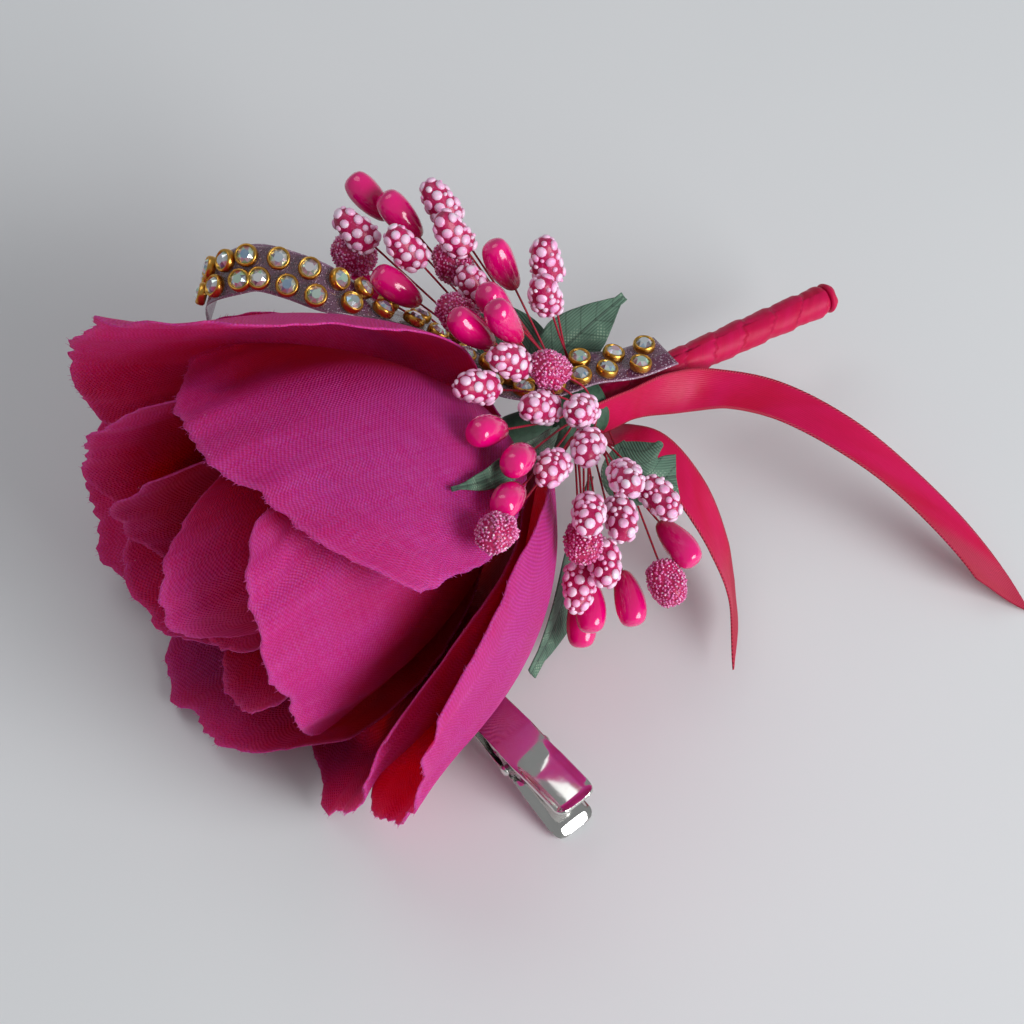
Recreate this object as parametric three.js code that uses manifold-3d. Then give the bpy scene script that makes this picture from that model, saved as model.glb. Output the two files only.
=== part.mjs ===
// Pin-on corsage: a fabric rose on a wrapped wire stem, with a spray of stamens, leaves,
// a rhinestone band, satin ribbon and an alligator clip under the petals.
// Millimetres, +Z up. The corsage lies on a table, and the rose mouth looks left and forward.
import * as THREE from 'three';
import { mergeVertices } from 'three/addons/utils/BufferGeometryUtils.js';
import Module from 'manifold-3d';

const wasm = await Module();
wasm.setup();

// Clearances between pieces, and how far a cutting tool runs past what it cuts
const GAP = 0.3;
const CUT_OVERRUN = 1;

// Rose: where its base stands over the table, and how its axis points from base to mouth
const ROSE_BASE_HEIGHT = 26;
const ROSE_YAW = 33;
const ROSE_PITCH = 10.1;

// Petals: each size is that of the largest petal, and the table holds shares of it
const PETAL_LENGTH = 74;
const PETAL_HALF_WIDTH = 30;
const PETAL_THICKNESS = 0.5;
const PETAL_ROLL = 3;
const PETAL_WAVE = 1.2;
const PETAL_TUCK = 2.5;
const PETAL_SLACK = 2;
const PETAL_TIGHTEST_BEND = 6;
const PETAL_FOOT_SHARE = 0.11;
const PETAL_CELLS_ACROSS = 8;
const PETAL_CELLS_ALONG = 9;
const LAYER_SPACING = 5 * PETAL_THICKNESS;
const LIFT_SOFTNESS = 1.5;

// Hub that the petals are fixed to, and the wire stem that it stands on
const HUB_RADIUS = 3.7;
const HUB_HEIGHT = 17;
const HUB_DOME = 2;
const HUB_SKIRT = 2;
const STEM_RADIUS = 1.6;
const ROUND_SIDES = 16;

// Satin ribbon wound round the stem
const WRAP_WIDTH = 5.4;
const WRAP_PITCH = 6;
const WRAP_THICKNESS = 0.9;
const WRAP_TURNS = 7;
const WRAP_STEPS_PER_TURN = 12;
const STEM_CAP_LENGTH = 1.6;

// Binding that holds the spray to the stem
const BINDING_RADIUS = 5.2;
const BINDING_LENGTH = 9.5;
const BINDING_SETBACK = 4.4;
const BINDING_EDGE = 0.8;

// Stamens: reach of the spray from the rose base, its wire and its three kinds of head
const SPRAY_REACH = 40;
const WIRE_RADIUS = 0.3;
const BEND_HALF_ANGLE = 8;
const FAN_RADIUS = 11;
const FAN_SHARE = 0.45;
const FAN_HEIGHT_SHARE = 0.2;
const PIP_RADIUS = 2.5;
const PIP_LENGTH = 9.4;
const BERRY_RADIUS = 2.8;
const BERRY_LENGTH = 8.2;
const SUGAR_RADIUS = 3;
const SUGAR_LENGTH = 7.6;

// Leaves of green fabric
const LEAF_REACH = 25;
const LEAF_HALF_WIDTH = 6;
const LEAF_THICKNESS = 0.5;
const LEAF_STALK_SHARE = 0.16;
const LEAF_CREASE_SHARE = 0.2;

// Satin ribbon tails
const RIBBON_REACH = 80;
const RIBBON_WIDTH = 7;
const RIBBON_THICKNESS = 0.5;

// Rhinestone band
const BAND_REACH = 41;
const BAND_WIDTH = 7.5;
const BAND_THICKNESS = 0.5;
const BAND_CELLS = 30;
const CUP_RADIUS = 1.88;
const CUP_HEIGHT = 1.5;
const CUP_FOOT_SHARE = 0.8;
const CUP_SIDES = 6;
const CUP_PITCH = 5.4;
const CUP_ROW_SPACING = 3.7;
const LINK_RADIUS = 0.35;

// Alligator clip, in its own frame: +X to the jaw tips, +Y along the pin
const CLIP_PIVOT_X = 0.1;
const CLIP_PIVOT_Y = -48.2;
const CLIP_PIVOT_HEIGHT = 6.5;
const CLIP_YAW = 129.5;
const CLIP_WIDTH = 7.5;
const CLIP_TIP_WIDTH = 6;
const CLIP_PLATE = 0.5;
const CLIP_JAW_LENGTH = 28;
const CLIP_BITE_LENGTH = 6;
const CLIP_HANDLE_LENGTH = 13;
const CLIP_PIVOT_OFFSET = 2.35;
const UPPER_HANDLE_HEIGHT = 3.3;
const LOWER_HANDLE_DEPTH = 5.4;
const CLIP_CORNER = 1.6;
const EAR_RADIUS = 1.55;
const EAR_HALF_LENGTH = 3;
const PIN_RADIUS = 0.65;
const PIN_HEAD_RADIUS = 1.1;
const PIN_HEAD_HEIGHT = 0.7;
const SPRING_WIRE = 0.55;
const SPRING_RADIUS = 1.25;
const SPRING_PITCH = 1;
const SPRING_TURNS = 3;
const SPRING_LEG = 7;
const SPRING_START = 90;
const SPRING_PART_TURN_SHARE = 0.5;
const LEG_RISE = 0.25;
const LEG_DROP = 0.5;

// The wire stem ends where its wrapping does
const STEM_LENGTH = BINDING_SETBACK + BINDING_LENGTH + GAP + WRAP_WIDTH + WRAP_TURNS * WRAP_PITCH;

const FABRIC_MAGENTA = 0xa5186f;
const SATIN_PINK = 0xc31558;
const GLOSS_PINK = 0xd11272;
const BERRY_PINK = 0xb2356f;
const LEAF_GREEN = 0x1d4030;
const CLEAR_TAPE = 0x8a4a78;
const GOLD = 0xc99a3c;
const NICKEL = 0xb9bcc0;
const BINDING_GREEN = 0x2a4a35;

const DEG = Math.PI / 180;

function material(name, color, roughness, metalness) {
  return new THREE.MeshStandardMaterial({ name, color, roughness, metalness });
}

const materials = {
  petal: material('petal_fabric', FABRIC_MAGENTA, 0.8, 0),
  satin: material('satin_ribbon', SATIN_PINK, 0.35, 0),
  gloss: material('gloss_pip', GLOSS_PINK, 0.15, 0),
  berry: material('dotted_berry', BERRY_PINK, 0.6, 0),
  sugar: material('sugar_berry', BERRY_PINK, 0.7, 0),
  leaf: material('leaf_fabric', LEAF_GREEN, 0.75, 0),
  tape: material('clear_tape', CLEAR_TAPE, 0.2, 0),
  gold: material('gold_cups', GOLD, 0.3, 1),
  nickel: material('nickel_steel', NICKEL, 0.2, 1),
  binding: material('binding_tape', BINDING_GREEN, 0.8, 0),
};

const corsage = new THREE.Group();
const pieces = new THREE.Group();
corsage.add(pieces);

function addMesh(name, geometry, materialName, parent = pieces) {
  const mesh = new THREE.Mesh(geometry, materials[materialName]);
  mesh.name = name;
  parent.add(mesh);
  return mesh;
}

// Eased step from 0 at a to 1 at b
function smooth(a, b, x) {
  const k = THREE.MathUtils.clamp((x - a) / (b - a), 0, 1);
  return k * k * (3 - 2 * k);
}

// Cubic Bernstein blend of four values
function bernstein(values, s) {
  const q = 1 - s;
  return values[0] * q ** 3 + 3 * values[1] * q * q * s + 3 * values[2] * q * s * s + values[3] * s ** 3;
}

function geometryFrom(positions, triangles) {
  const geometry = new THREE.BufferGeometry();
  geometry.setAttribute('position', new THREE.Float32BufferAttribute(positions, 3));
  geometry.setIndex(triangles);
  geometry.computeVertexNormals();
  return geometry;
}

// A thin closed sheet about the middle surface at(u, v), with u from -1 to 1 and v from 0 to 1
function sheetGeometry(at, cellsAcross, cellsAlong, thickness) {
  const positions = [];
  const triangles = [];
  const columns = cellsAcross + 1;
  const rows = cellsAlong + 1;
  const step = 0.01;
  for (const side of [1, -1]) {
    for (let j = 0; j < rows; j += 1) {
      for (let i = 0; i < columns; i += 1) {
        const u = (2 * i) / cellsAcross - 1;
        const v = j / cellsAlong;
        const across = at(u + step, v).sub(at(u - step, v));
        const along = at(u, Math.min(v + step, 1)).sub(at(u, Math.max(v - step, 0)));
        const normal = across.cross(along).normalize();
        at(u, v).addScaledVector(normal, (side * thickness) / 2).toArray(positions, positions.length);
      }
    }
  }
  const count = columns * rows;
  for (let j = 0; j < cellsAlong; j += 1) {
    for (let i = 0; i < cellsAcross; i += 1) {
      const a = j * columns + i;
      const [b, c, d] = [a + 1, a + columns + 1, a + columns];
      triangles.push(a, b, c, a, c, d);
      triangles.push(count + a, count + c, count + b, count + a, count + d, count + c);
    }
  }
  const rim = [];
  for (let i = 0; i < cellsAcross; i += 1) rim.push(i);
  for (let j = 0; j < cellsAlong; j += 1) rim.push(j * columns + cellsAcross);
  for (let i = cellsAcross; i > 0; i -= 1) rim.push(cellsAlong * columns + i);
  for (let j = cellsAlong; j > 0; j -= 1) rim.push(j * columns);
  rim.forEach((a, k) => {
    const b = rim[(k + 1) % rim.length];
    triangles.push(a, count + a, count + b, a, count + b, b);
  });
  return geometryFrom(positions, triangles);
}

// A closed round body along points, with its own radius at each of them
function sweepGeometry(points, radii, sides) {
  const positions = [];
  const triangles = [];
  const last = points.length - 1;
  const normal = new THREE.Vector3();
  points.forEach((point, k) => {
    const tangent = points[Math.min(k + 1, last)].clone().sub(points[Math.max(k - 1, 0)]).normalize();
    if (k === 0) {
      normal.set(0, 0, 1);
      if (Math.abs(tangent.z) > 0.9) normal.set(1, 0, 0);
    }
    normal.addScaledVector(tangent, -normal.dot(tangent)).normalize();
    const binormal = tangent.clone().cross(normal);
    for (let i = 0; i < sides; i += 1) {
      const angle = (2 * Math.PI * i) / sides;
      point.clone().addScaledVector(normal, radii[k] * Math.cos(angle))
        .addScaledVector(binormal, radii[k] * Math.sin(angle)).toArray(positions, positions.length);
    }
  });
  for (let k = 0; k < last; k += 1) {
    for (let i = 0; i < sides; i += 1) {
      const [a, b] = [k * sides + i, k * sides + ((i + 1) % sides)];
      triangles.push(a, b, b + sides, a, b + sides, a + sides);
    }
  }
  for (let i = 1; i < sides - 1; i += 1) {
    triangles.push(0, i + 1, i);
    triangles.push(last * sides, last * sides + i, last * sides + i + 1);
  }
  return geometryFrom(positions, triangles);
}

// A strap along points: facings are the directions that its broad face looks in
function strapSurface(points, facings, halfWidthAt, crease = 0) {
  const curve = new THREE.CatmullRomCurve3(points, false, 'centripetal');
  const facingCurve = new THREE.CatmullRomCurve3(facings);
  return (u, v) => {
    const tangent = curve.getTangent(v);
    const facing = facingCurve.getPoint(v).normalize();
    const side = facing.clone().cross(tangent).normalize();
    const normal = tangent.clone().cross(side);
    return curve.getPoint(v)
      .addScaledVector(side, u * halfWidthAt(v))
      .addScaledVector(normal, crease * Math.abs(u) * halfWidthAt(v));
  };
}

function toSolid(geometry) {
  const bare = geometry.index ? geometry.clone() : geometry;
  bare.deleteAttribute('normal');
  bare.deleteAttribute('uv');
  const merged = mergeVertices(bare, 1e-5);
  const mesh = new wasm.Mesh({
    numProp: 3,
    vertProperties: new Float32Array(merged.attributes.position.array),
    triVerts: new Uint32Array(merged.index.array),
  });
  return new wasm.Manifold(mesh);
}

function fromSolid(solid) {
  const mesh = solid.getMesh();
  return geometryFrom(Array.from(mesh.vertProperties), Array.from(mesh.triVerts));
}

// Rose frame: +Z from base to mouth, +X as nearly up as it can be
const roseAxis = new THREE.Vector3(
  -Math.cos(ROSE_YAW * DEG) * Math.cos(ROSE_PITCH * DEG),
  -Math.sin(ROSE_YAW * DEG) * Math.cos(ROSE_PITCH * DEG),
  Math.sin(ROSE_PITCH * DEG),
);
const roseUp = new THREE.Vector3(0, 0, 1).addScaledVector(roseAxis, -roseAxis.z).normalize();
const roseSide = roseAxis.clone().cross(roseUp);
const rose = new THREE.Group();
rose.setRotationFromMatrix(new THREE.Matrix4().makeBasis(roseUp, roseSide, roseAxis));
rose.position.set(0, 0, ROSE_BASE_HEIGHT);
rose.updateMatrixWorld(true);
pieces.add(rose);

// Clip frame: +X along the jaws to their tips, +Y along the pin, +Z up
const clip = new THREE.Group();
clip.rotation.z = CLIP_YAW * DEG;
clip.position.set(CLIP_PIVOT_X, CLIP_PIVOT_Y, CLIP_PIVOT_HEIGHT);
clip.updateMatrixWorld(true);
pieces.add(clip);

// Height of what a petal rests on: the table, or the clip's upper jaw where that lies under it
const CLIP_TOP = CLIP_PIVOT_HEIGHT + CLIP_PIVOT_OFFSET + CLIP_PLATE / 2 + GAP + PETAL_THICKNESS / 2;
const BED_REACH = 18;
const BED_START_SHARE = 0.45;

function restHeight(world) {
  const table = PETAL_THICKNESS / 2;
  const local = clip.worldToLocal(world.clone());
  const beside = 1 - smooth(BED_START_SHARE, 1, Math.abs(local.y) / BED_REACH);
  const behind = 1 - smooth(BED_START_SHARE, 1, -(local.x + CLIP_HANDLE_LENGTH) / BED_REACH);
  const ahead = 1 - smooth(BED_START_SHARE, 1, (local.x - CLIP_JAW_LENGTH) / BED_REACH);
  return table + (CLIP_TOP - table) * beside * behind * ahead;
}

// Petals, outer ones first. Angles are in degrees: around is the place about the axis, and
// flare is the way the petal leans from the axis at four places from foot to rim.
const PETAL_SHARES = [
  { name: 'petal_top', around: 2, foot: 0.3, length: 0.865, width: 1, flare: [64, 35, -4, 0], lip: -8,
    bend: 1.15, roll: 1, trim: 0.22, wave: 0.67, waves: 2.4, phase: 0.4, slant: -0.1, tuck: 1, layer: 1 },
  { name: 'petal_upper_back', around: 66, foot: 0.24, length: 0.973, width: 1, flare: [66, 44, -10, 28],
    lip: 6, bend: 1.12, roll: 0.33, trim: 0.14, wave: 1, waves: 3, phase: 1, slant: 0, tuck: 1.2, cut: 0.45,
    layer: 0 },
  { name: 'petal_far_left', around: 130, foot: 0.18, length: 0.973, width: 0.97, flare: [66, 40, 0, 20],
    lip: 10, bend: 1.1, roll: 0.33, trim: 0.2, wave: 0.83, waves: 3.5, phase: 2, slant: 0, tuck: 1.8, layer: 0.6 },
  { name: 'petal_low_left', around: 185, foot: 0.12, length: 0.986, width: 0.91, flare: [64, 42, 0, 6],
    lip: 12, bend: 1.1, roll: 0.5, trim: 0.22, wave: 0.83, waves: 3.2, phase: 0, slant: 0, tuck: 1.6, layer: 0.5 },
  { name: 'petal_bottom', around: 238, foot: 0.04, length: 0.93, width: 1, flare: [66, 46, 6, 20], lip: 15,
    bend: 1.3, roll: 0.5, trim: 0.1, wave: 0.83, waves: 2.6, phase: 1.4, slant: -0.02, tuck: 1.7, layer: 0.2 },
  { name: 'petal_right_droop', around: 251, foot: -0.05, length: 0.946, width: 1, flare: [76, 52, 14, 16],
    lip: 12, bend: 0.82, roll: 0.6, trim: 0.06, wave: 0.67, waves: 2, phase: 0.4, slant: -0.05, tuck: 0.85,
    layer: -0.17 },
  { name: 'petal_front', around: 287, foot: 0.4, length: 0.86, width: 1, flare: [50, 34, 0, 2], lip: 8,
    bend: 1, roll: 0.27, trim: 0.14, wave: 0.42, waves: 2.2, phase: 0, slant: -0.14, tuck: 1.12, layer: 2 },
  { name: 'petal_inner_back', around: 82, foot: 0.6, length: 0.84, width: 0.76, flare: [44, 32, -4, 10],
    lip: 16, bend: 1.05, roll: 0.1, trim: 0.25, wave: 0.67, waves: 3, phase: 0.5, slant: 0, tuck: 1.3,
    layer: 3 },
  { name: 'petal_inner_left', around: 148, foot: 0.55, length: 0.81, width: 0.73, flare: [42, 28, 0, 0],
    lip: 10, bend: 1.05, roll: 0.33, trim: 0.3, wave: 0.67, waves: 3, phase: 1.5, slant: 0, tuck: 1.2,
    layer: 3 },
  { name: 'petal_inner_low', around: 214, foot: 0.5, length: 0.757, width: 0.73, flare: [44, 30, 0, 4],
    lip: 20, bend: 1.05, roll: 0.33, trim: 0.3, wave: 0.67, waves: 3, phase: 0.2, slant: 0, tuck: 0.6,
    layer: 3 },
  { name: 'petal_heart_back', around: 100, foot: 0.7, length: 0.76, width: 0.6, flare: [24, 26, -4, 6],
    lip: 15, bend: 1.05, roll: 0.17, trim: 0.34, wave: 0.5, waves: 3, phase: 0.2, slant: 0, tuck: -0.1,
    layer: 4 },
  { name: 'petal_heart_low', around: 190, foot: 0.7, length: 0.676, width: 0.57, flare: [22, 18, -6, 6],
    lip: 10, bend: 1.05, roll: 0.17, trim: 0.35, wave: 0.5, waves: 3, phase: 1.2, slant: 0, tuck: -0.5,
    layer: 4 },
  { name: 'petal_heart', around: 316, foot: 0.82, length: 0.79, width: 0.57, flare: [14, 18, -8, -4],
    lip: 4, bend: 1.05, roll: 0.17, trim: 0.35, wave: 0.33, waves: 3, phase: 0.2, slant: 0, tuck: -0.4,
    layer: 4 },
  { name: 'petal_bud', around: 100, foot: 0.88, length: 0.568, width: 0.3, flare: [8, 10, -10, -8], lip: 0,
    bend: 0.9, roll: 0.07, trim: 0.35, wave: 0.25, waves: 3, phase: 0.2, slant: 0, tuck: 0, layer: 5 },
];
const PROFILE_STEPS = 40;

// Radius, height and lean of a petal's middle line, from foot to rim
function petalProfile(petal) {
  let radius = HUB_RADIUS + GAP + PETAL_THICKNESS / 2;
  let height = petal.foot * HUB_HEIGHT;
  const step = (petal.length * PETAL_LENGTH) / PROFILE_STEPS;
  const profile = [{ radius, height, lean: petal.flare[0] * DEG }];
  for (let i = 0; i < PROFILE_STEPS; i += 1) {
    const s = (i + 0.5) / PROFILE_STEPS;
    const lean = (bernstein(petal.flare, s) + petal.lip * smooth(0.8, 1, s)) * DEG;
    radius += Math.sin(lean) * step;
    height += Math.cos(lean) * step;
    profile.push({ radius, height, lean });
  }
  return profile;
}

function petalSurface(petal) {
  const profile = petalProfile(petal);
  const { lerp, clamp } = THREE.MathUtils;
  return (u, v) => {
    const s = clamp(v * (1 - petal.trim * Math.abs(u) ** 2.6 - petal.slant * u * 0.5), 0, 1);
    const place = s * PROFILE_STEPS;
    const index = Math.min(Math.floor(place), PROFILE_STEPS - 1);
    const [below, above] = [profile[index], profile[index + 1]];
    const radius = lerp(below.radius, above.radius, place - index);
    const height = lerp(below.height, above.height, place - index);
    const lean = lerp(below.lean, above.lean, place - index);
    const opening = Math.sin((Math.PI / 2) * Math.min(1, s / 0.62)) ** 1.3;
    const widthShare = lerp(PETAL_FOOT_SHARE, 1, opening) * (1 - 0.18 * smooth(0.62, 1, s));
    const sideCut = (petal.cut ?? 0) * Math.max(0, u) * (1 - smooth(0.55, 0.95, s));
    const halfWidth = petal.width * PETAL_HALF_WIDTH * widthShare * (1 - sideCut);
    const bend = Math.max(petal.bend * (radius + PETAL_SLACK), PETAL_TIGHTEST_BEND);
    const turn = (u * halfWidth) / bend;
    const roll = petal.roll * PETAL_ROLL * Math.max(0, (Math.abs(u) - 0.55) / 0.45) ** 2 * smooth(0.15, 0.8, s);
    const tuck = -petal.tuck * PETAL_TUCK * u * smooth(0, 0.24, s);
    const wave = petal.wave * PETAL_WAVE * Math.sin(petal.waves * u + petal.phase) * smooth(0.3, 1, s);
    const push = roll + tuck + wave;
    const outward = radius - bend * (1 - Math.cos(turn)) + push * Math.cos(lean) * Math.cos(turn);
    const sideways = (bend + push * Math.cos(lean)) * Math.sin(turn);
    const around = petal.around * DEG;
    const local = new THREE.Vector3(
      outward * Math.cos(around) - sideways * Math.sin(around),
      outward * Math.sin(around) + sideways * Math.cos(around),
      height - push * Math.sin(lean),
    );
    const world = rose.localToWorld(local);
    const bed = restHeight(world) + LAYER_SPACING * (petal.layer + smooth(-0.3, 0.3, u));
    world.z = bed + LIFT_SOFTNESS * Math.log1p(Math.exp((world.z - bed) / LIFT_SOFTNESS));
    return rose.worldToLocal(world);
  };
}

for (const petal of PETAL_SHARES) {
  const geometry = sheetGeometry(
    petalSurface(petal), PETAL_CELLS_ACROSS, PETAL_CELLS_ALONG, PETAL_THICKNESS);
  addMesh(petal.name, geometry, 'petal', rose);
}

// A place in the rose frame: degrees about the axis, radius from it and height along it
function aboutAxis(around, radius, height) {
  return new THREE.Vector3(radius * Math.cos(around * DEG), radius * Math.sin(around * DEG), height);
}

function lathe(outline, sides = ROUND_SIDES) {
  const geometry = new THREE.LatheGeometry(outline.map(([x, y]) => new THREE.Vector2(x, y)), sides);
  return geometry.rotateX(Math.PI / 2);
}

// Hub and wire stem, one lathed body about the rose axis
addMesh('stem_core', lathe([
  [0, -STEM_LENGTH],
  [STEM_RADIUS, -STEM_LENGTH],
  [STEM_RADIUS, -HUB_SKIRT - HUB_RADIUS + STEM_RADIUS],
  [HUB_RADIUS, -HUB_SKIRT],
  [HUB_RADIUS, HUB_HEIGHT],
  [HUB_RADIUS - HUB_DOME, HUB_HEIGHT + HUB_DOME],
  [0, HUB_HEIGHT + HUB_DOME],
]), 'binding', rose);

// Binding sleeve round the stem, behind the hub
const BINDING_FRONT = -BINDING_SETBACK;
const BINDING_BACK = BINDING_FRONT - BINDING_LENGTH;
addMesh('spray_binding', lathe([
  [STEM_RADIUS + GAP, BINDING_BACK],
  [BINDING_RADIUS - BINDING_EDGE, BINDING_BACK],
  [BINDING_RADIUS, BINDING_BACK + BINDING_EDGE],
  [BINDING_RADIUS, BINDING_FRONT - BINDING_EDGE],
  [BINDING_RADIUS - BINDING_EDGE, BINDING_FRONT],
  [STEM_RADIUS + GAP, BINDING_FRONT],
  [STEM_RADIUS + GAP, BINDING_BACK],
]), 'binding', rose);

// Ribbon wound round the stem in one unbroken strip, and the fold that closes its end
function stemWrap() {
  const inner = STEM_RADIUS + GAP;
  const outer = inner + WRAP_THICKNESS;
  const start = BINDING_BACK - GAP - WRAP_WIDTH / 2;
  const steps = WRAP_TURNS * WRAP_STEPS_PER_TURN;
  const positions = [];
  const triangles = [];
  for (let k = 0; k <= steps; k += 1) {
    const around = (360 * k) / WRAP_STEPS_PER_TURN;
    const height = start - (WRAP_PITCH * k) / WRAP_STEPS_PER_TURN;
    const crown = (outer - inner) / 3;
    for (const [radius, z] of [
      [inner, height - WRAP_WIDTH / 2],
      [outer - crown, height - WRAP_WIDTH / 2],
      [outer, height],
      [outer - crown, height + WRAP_WIDTH / 2],
      [inner, height + WRAP_WIDTH / 2],
    ]) {
      aboutAxis(around, radius, z).toArray(positions, positions.length);
    }
  }
  const sides = 5;
  for (let k = 0; k < steps; k += 1) {
    for (let i = 0; i < sides; i += 1) {
      const [a, b] = [k * sides + i, k * sides + ((i + 1) % sides)];
      triangles.push(a, a + sides, b + sides, a, b + sides, b);
    }
  }
  for (let i = 1; i < sides - 1; i += 1) {
    triangles.push(0, i, i + 1);
    triangles.push(steps * sides, steps * sides + i + 1, steps * sides + i);
  }
  return geometryFrom(positions, triangles);
}
addMesh('stem_wrap', stemWrap(), 'satin', rose);

const WRAP_OUTER = STEM_RADIUS + GAP + WRAP_THICKNESS;
addMesh('stem_end_fold', lathe([
  [0, -STEM_LENGTH - GAP],
  [WRAP_OUTER, -STEM_LENGTH - GAP],
  [WRAP_OUTER, -STEM_LENGTH - GAP - STEM_CAP_LENGTH / 2],
  [WRAP_OUTER - STEM_CAP_LENGTH / 2, -STEM_LENGTH - GAP - STEM_CAP_LENGTH],
  [0, -STEM_LENGTH - GAP - STEM_CAP_LENGTH],
].reverse()), 'satin', rose);

// Stamens: a folded wire held at its bend on the binding, with a head at each end.
// Each head is given as degrees about the axis, then radius and height as shares of the reach.
const HEADS = {
  pip: { radius: PIP_RADIUS, length: PIP_LENGTH, outlineShares: [0.5, 0.86, 1, 0.72, 0.25] },
  dotted: { radius: BERRY_RADIUS, length: BERRY_LENGTH, outlineShares: [0.7, 1, 0.96, 0.8, 0.42] },
  sugar: { radius: SUGAR_RADIUS, length: SUGAR_LENGTH, outlineShares: [0.6, 0.95, 1, 0.85, 0.4] },
};
const STAMEN_SHARES = [
  { kind: 'pip', bend: [90, 0.55], heads: [[60, 0.99, 0.12], [66, 1.12, 0.16]] },
  { kind: 'pip', bend: [70, 0.1], heads: [[55, 0.73, 0.29], [76, 0.79, 0.27]] },
  { kind: 'pip', bend: [72, 0.63], heads: [[28, 0.6, 0.04], [44, 0.67, -0.12]] },
  { kind: 'pip', bend: [-20, 0.04], heads: [[9.5, 0.66, 0.13], [18.5, 0.6, 0.22]] },
  { kind: 'pip', bend: [-38, 0.12], heads: [[-37, 0.66, 0.38], [-24, 0.61, 0.43]] },
  { kind: 'pip', bend: [-53, 0.1], heads: [[-46, 0.72, 0.5]] },
  { kind: 'pip', bend: [-128, 0.37], heads: [[-125, 0.79, 0.07], [-112, 0.74, 0.09]] },
  { kind: 'pip', bend: [-116, 0.63], heads: [[-108, 0.79, -0.05], [-98, 0.7, -0.3]] },
  { kind: 'dotted', bend: [90, 0.3], heads: [[51, 0.87, 0.22], [61, 1.01, 0.32]] },
  { kind: 'dotted', bend: [90, 0.8], heads: [[47, 0.86, 0.03], [56, 0.98, -0.03]] },
  { kind: 'dotted', bend: [74, 0.9], heads: [[25, 0.57, -0.17], [36, 0.65, -0.27]] },
  { kind: 'dotted', bend: [-19, 0.37], heads: [[-3, 0.52, 0.34], [0, 0.56, 0.18]] },
  { kind: 'dotted', bend: [-40, 0.38], heads: [[-46, 0.61, 0.24], [-22, 0.47, 0.13]] },
  { kind: 'dotted', bend: [-36, 0.63], heads: [[-46, 0.56, 0.04], [-31, 0.5, -0.02]] },
  { kind: 'dotted', bend: [-61, 0.4], heads: [[-63, 0.7, 0.18], [-54, 0.76, 0.02]] },
  { kind: 'dotted', bend: [-80, 0.6], heads: [[-82, 0.58, -0.26], [-78, 0.62, -0.03]] },
  { kind: 'dotted', bend: [-98, 0.37], heads: [[-102, 0.68, 0.16], [-91, 0.68, 0.07]] },
  { kind: 'dotted', bend: [74, 0.37], heads: [[45, 0.63, 0.02]] },
  { kind: 'sugar', bend: [110, 0.25], heads: [[71, 0.95, 0.3]] },
  { kind: 'sugar', bend: [70, 0.16], heads: [[37, 0.585, 0.17], [55, 0.74, 0.02]] },
  { kind: 'sugar', bend: [-20, 0.63], heads: [[-8, 0.51, 0.02]] },
  { kind: 'sugar', bend: [-70, 0.1], heads: [[-50, 0.86, 0.66]] },
  { kind: 'sugar', bend: [-96, 0.9], heads: [[-102, 0.82, -0.19]] },
  { kind: 'sugar', bend: [-84, 0.15], heads: [[-76, 0.66, 0.18]] },
];
const WIRE_STEPS = 4;
const WIRE_SIDES = 5;

function stamen({ kind, bend, heads }) {
  const [bendAround, bendShare] = bend;
  const bendHeight = BINDING_FRONT - bendShare * BINDING_LENGTH;
  const bendRadius = BINDING_RADIUS + GAP + WIRE_RADIUS;
  const head = HEADS[kind];
  // One half of the wire, from the bend out to the tip of its head
  const arm = ([around, radiusShare, heightShare], side) => {
    const tip = aboutAxis(around, radiusShare * SPRAY_REACH, heightShare * SPRAY_REACH);
    const root = aboutAxis(bendAround + side * BEND_HALF_ANGLE, bendRadius, bendHeight);
    const fanAround = THREE.MathUtils.lerp(bendAround, around, FAN_SHARE);
    const fanHeight = THREE.MathUtils.lerp(bendHeight, tip.z, FAN_HEIGHT_SHARE);
    const fan = aboutAxis(fanAround, FAN_RADIUS, fanHeight);
    const direction = tip.clone().sub(fan).normalize();
    const neck = tip.clone().addScaledVector(direction, -head.length / 2);
    const wire = new THREE.CubicBezierCurve3(root, fan, fan.clone().lerp(neck, 1 / 3), neck);
    const points = wire.getPoints(WIRE_STEPS);
    const radii = points.map(() => WIRE_RADIUS);
    head.outlineShares.forEach((share, k) => {
      const along = ((k + 0.6) / (head.outlineShares.length - 0.4)) * head.length;
      points.push(neck.clone().addScaledVector(direction, along));
      radii.push(head.radius * share);
    });
    return { points, radii };
  };
  const first = arm(heads[0], heads[1] ? -1 : 0);
  if (!heads[1]) return sweepGeometry(first.points, first.radii, WIRE_SIDES);
  const second = arm(heads[1], 1);
  return sweepGeometry(
    [...first.points.reverse(), ...second.points],
    [...first.radii.reverse(), ...second.radii],
    WIRE_SIDES,
  );
}

const headMaterials = { pip: 'gloss', dotted: 'berry', sugar: 'sugar' };
const stamenCounts = { pip: 0, dotted: 0, sugar: 0 };
for (const row of STAMEN_SHARES) {
  stamenCounts[row.kind] += 1;
  const number = String(stamenCounts[row.kind]).padStart(2, '0');
  addMesh(`stamen_${row.kind}_${number}`, stamen(row), headMaterials[row.kind], rose);
}

// Straps and leaves lie along places given as shares of a reach, in the frame of the pieces
const fromShares = (rows, reach) => rows.map(([x, y, z]) => new THREE.Vector3(x, y, z).multiplyScalar(reach));
const facingsFrom = (rows) => rows.map(([x, y, z]) => new THREE.Vector3(x, y, z).normalize());

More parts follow.
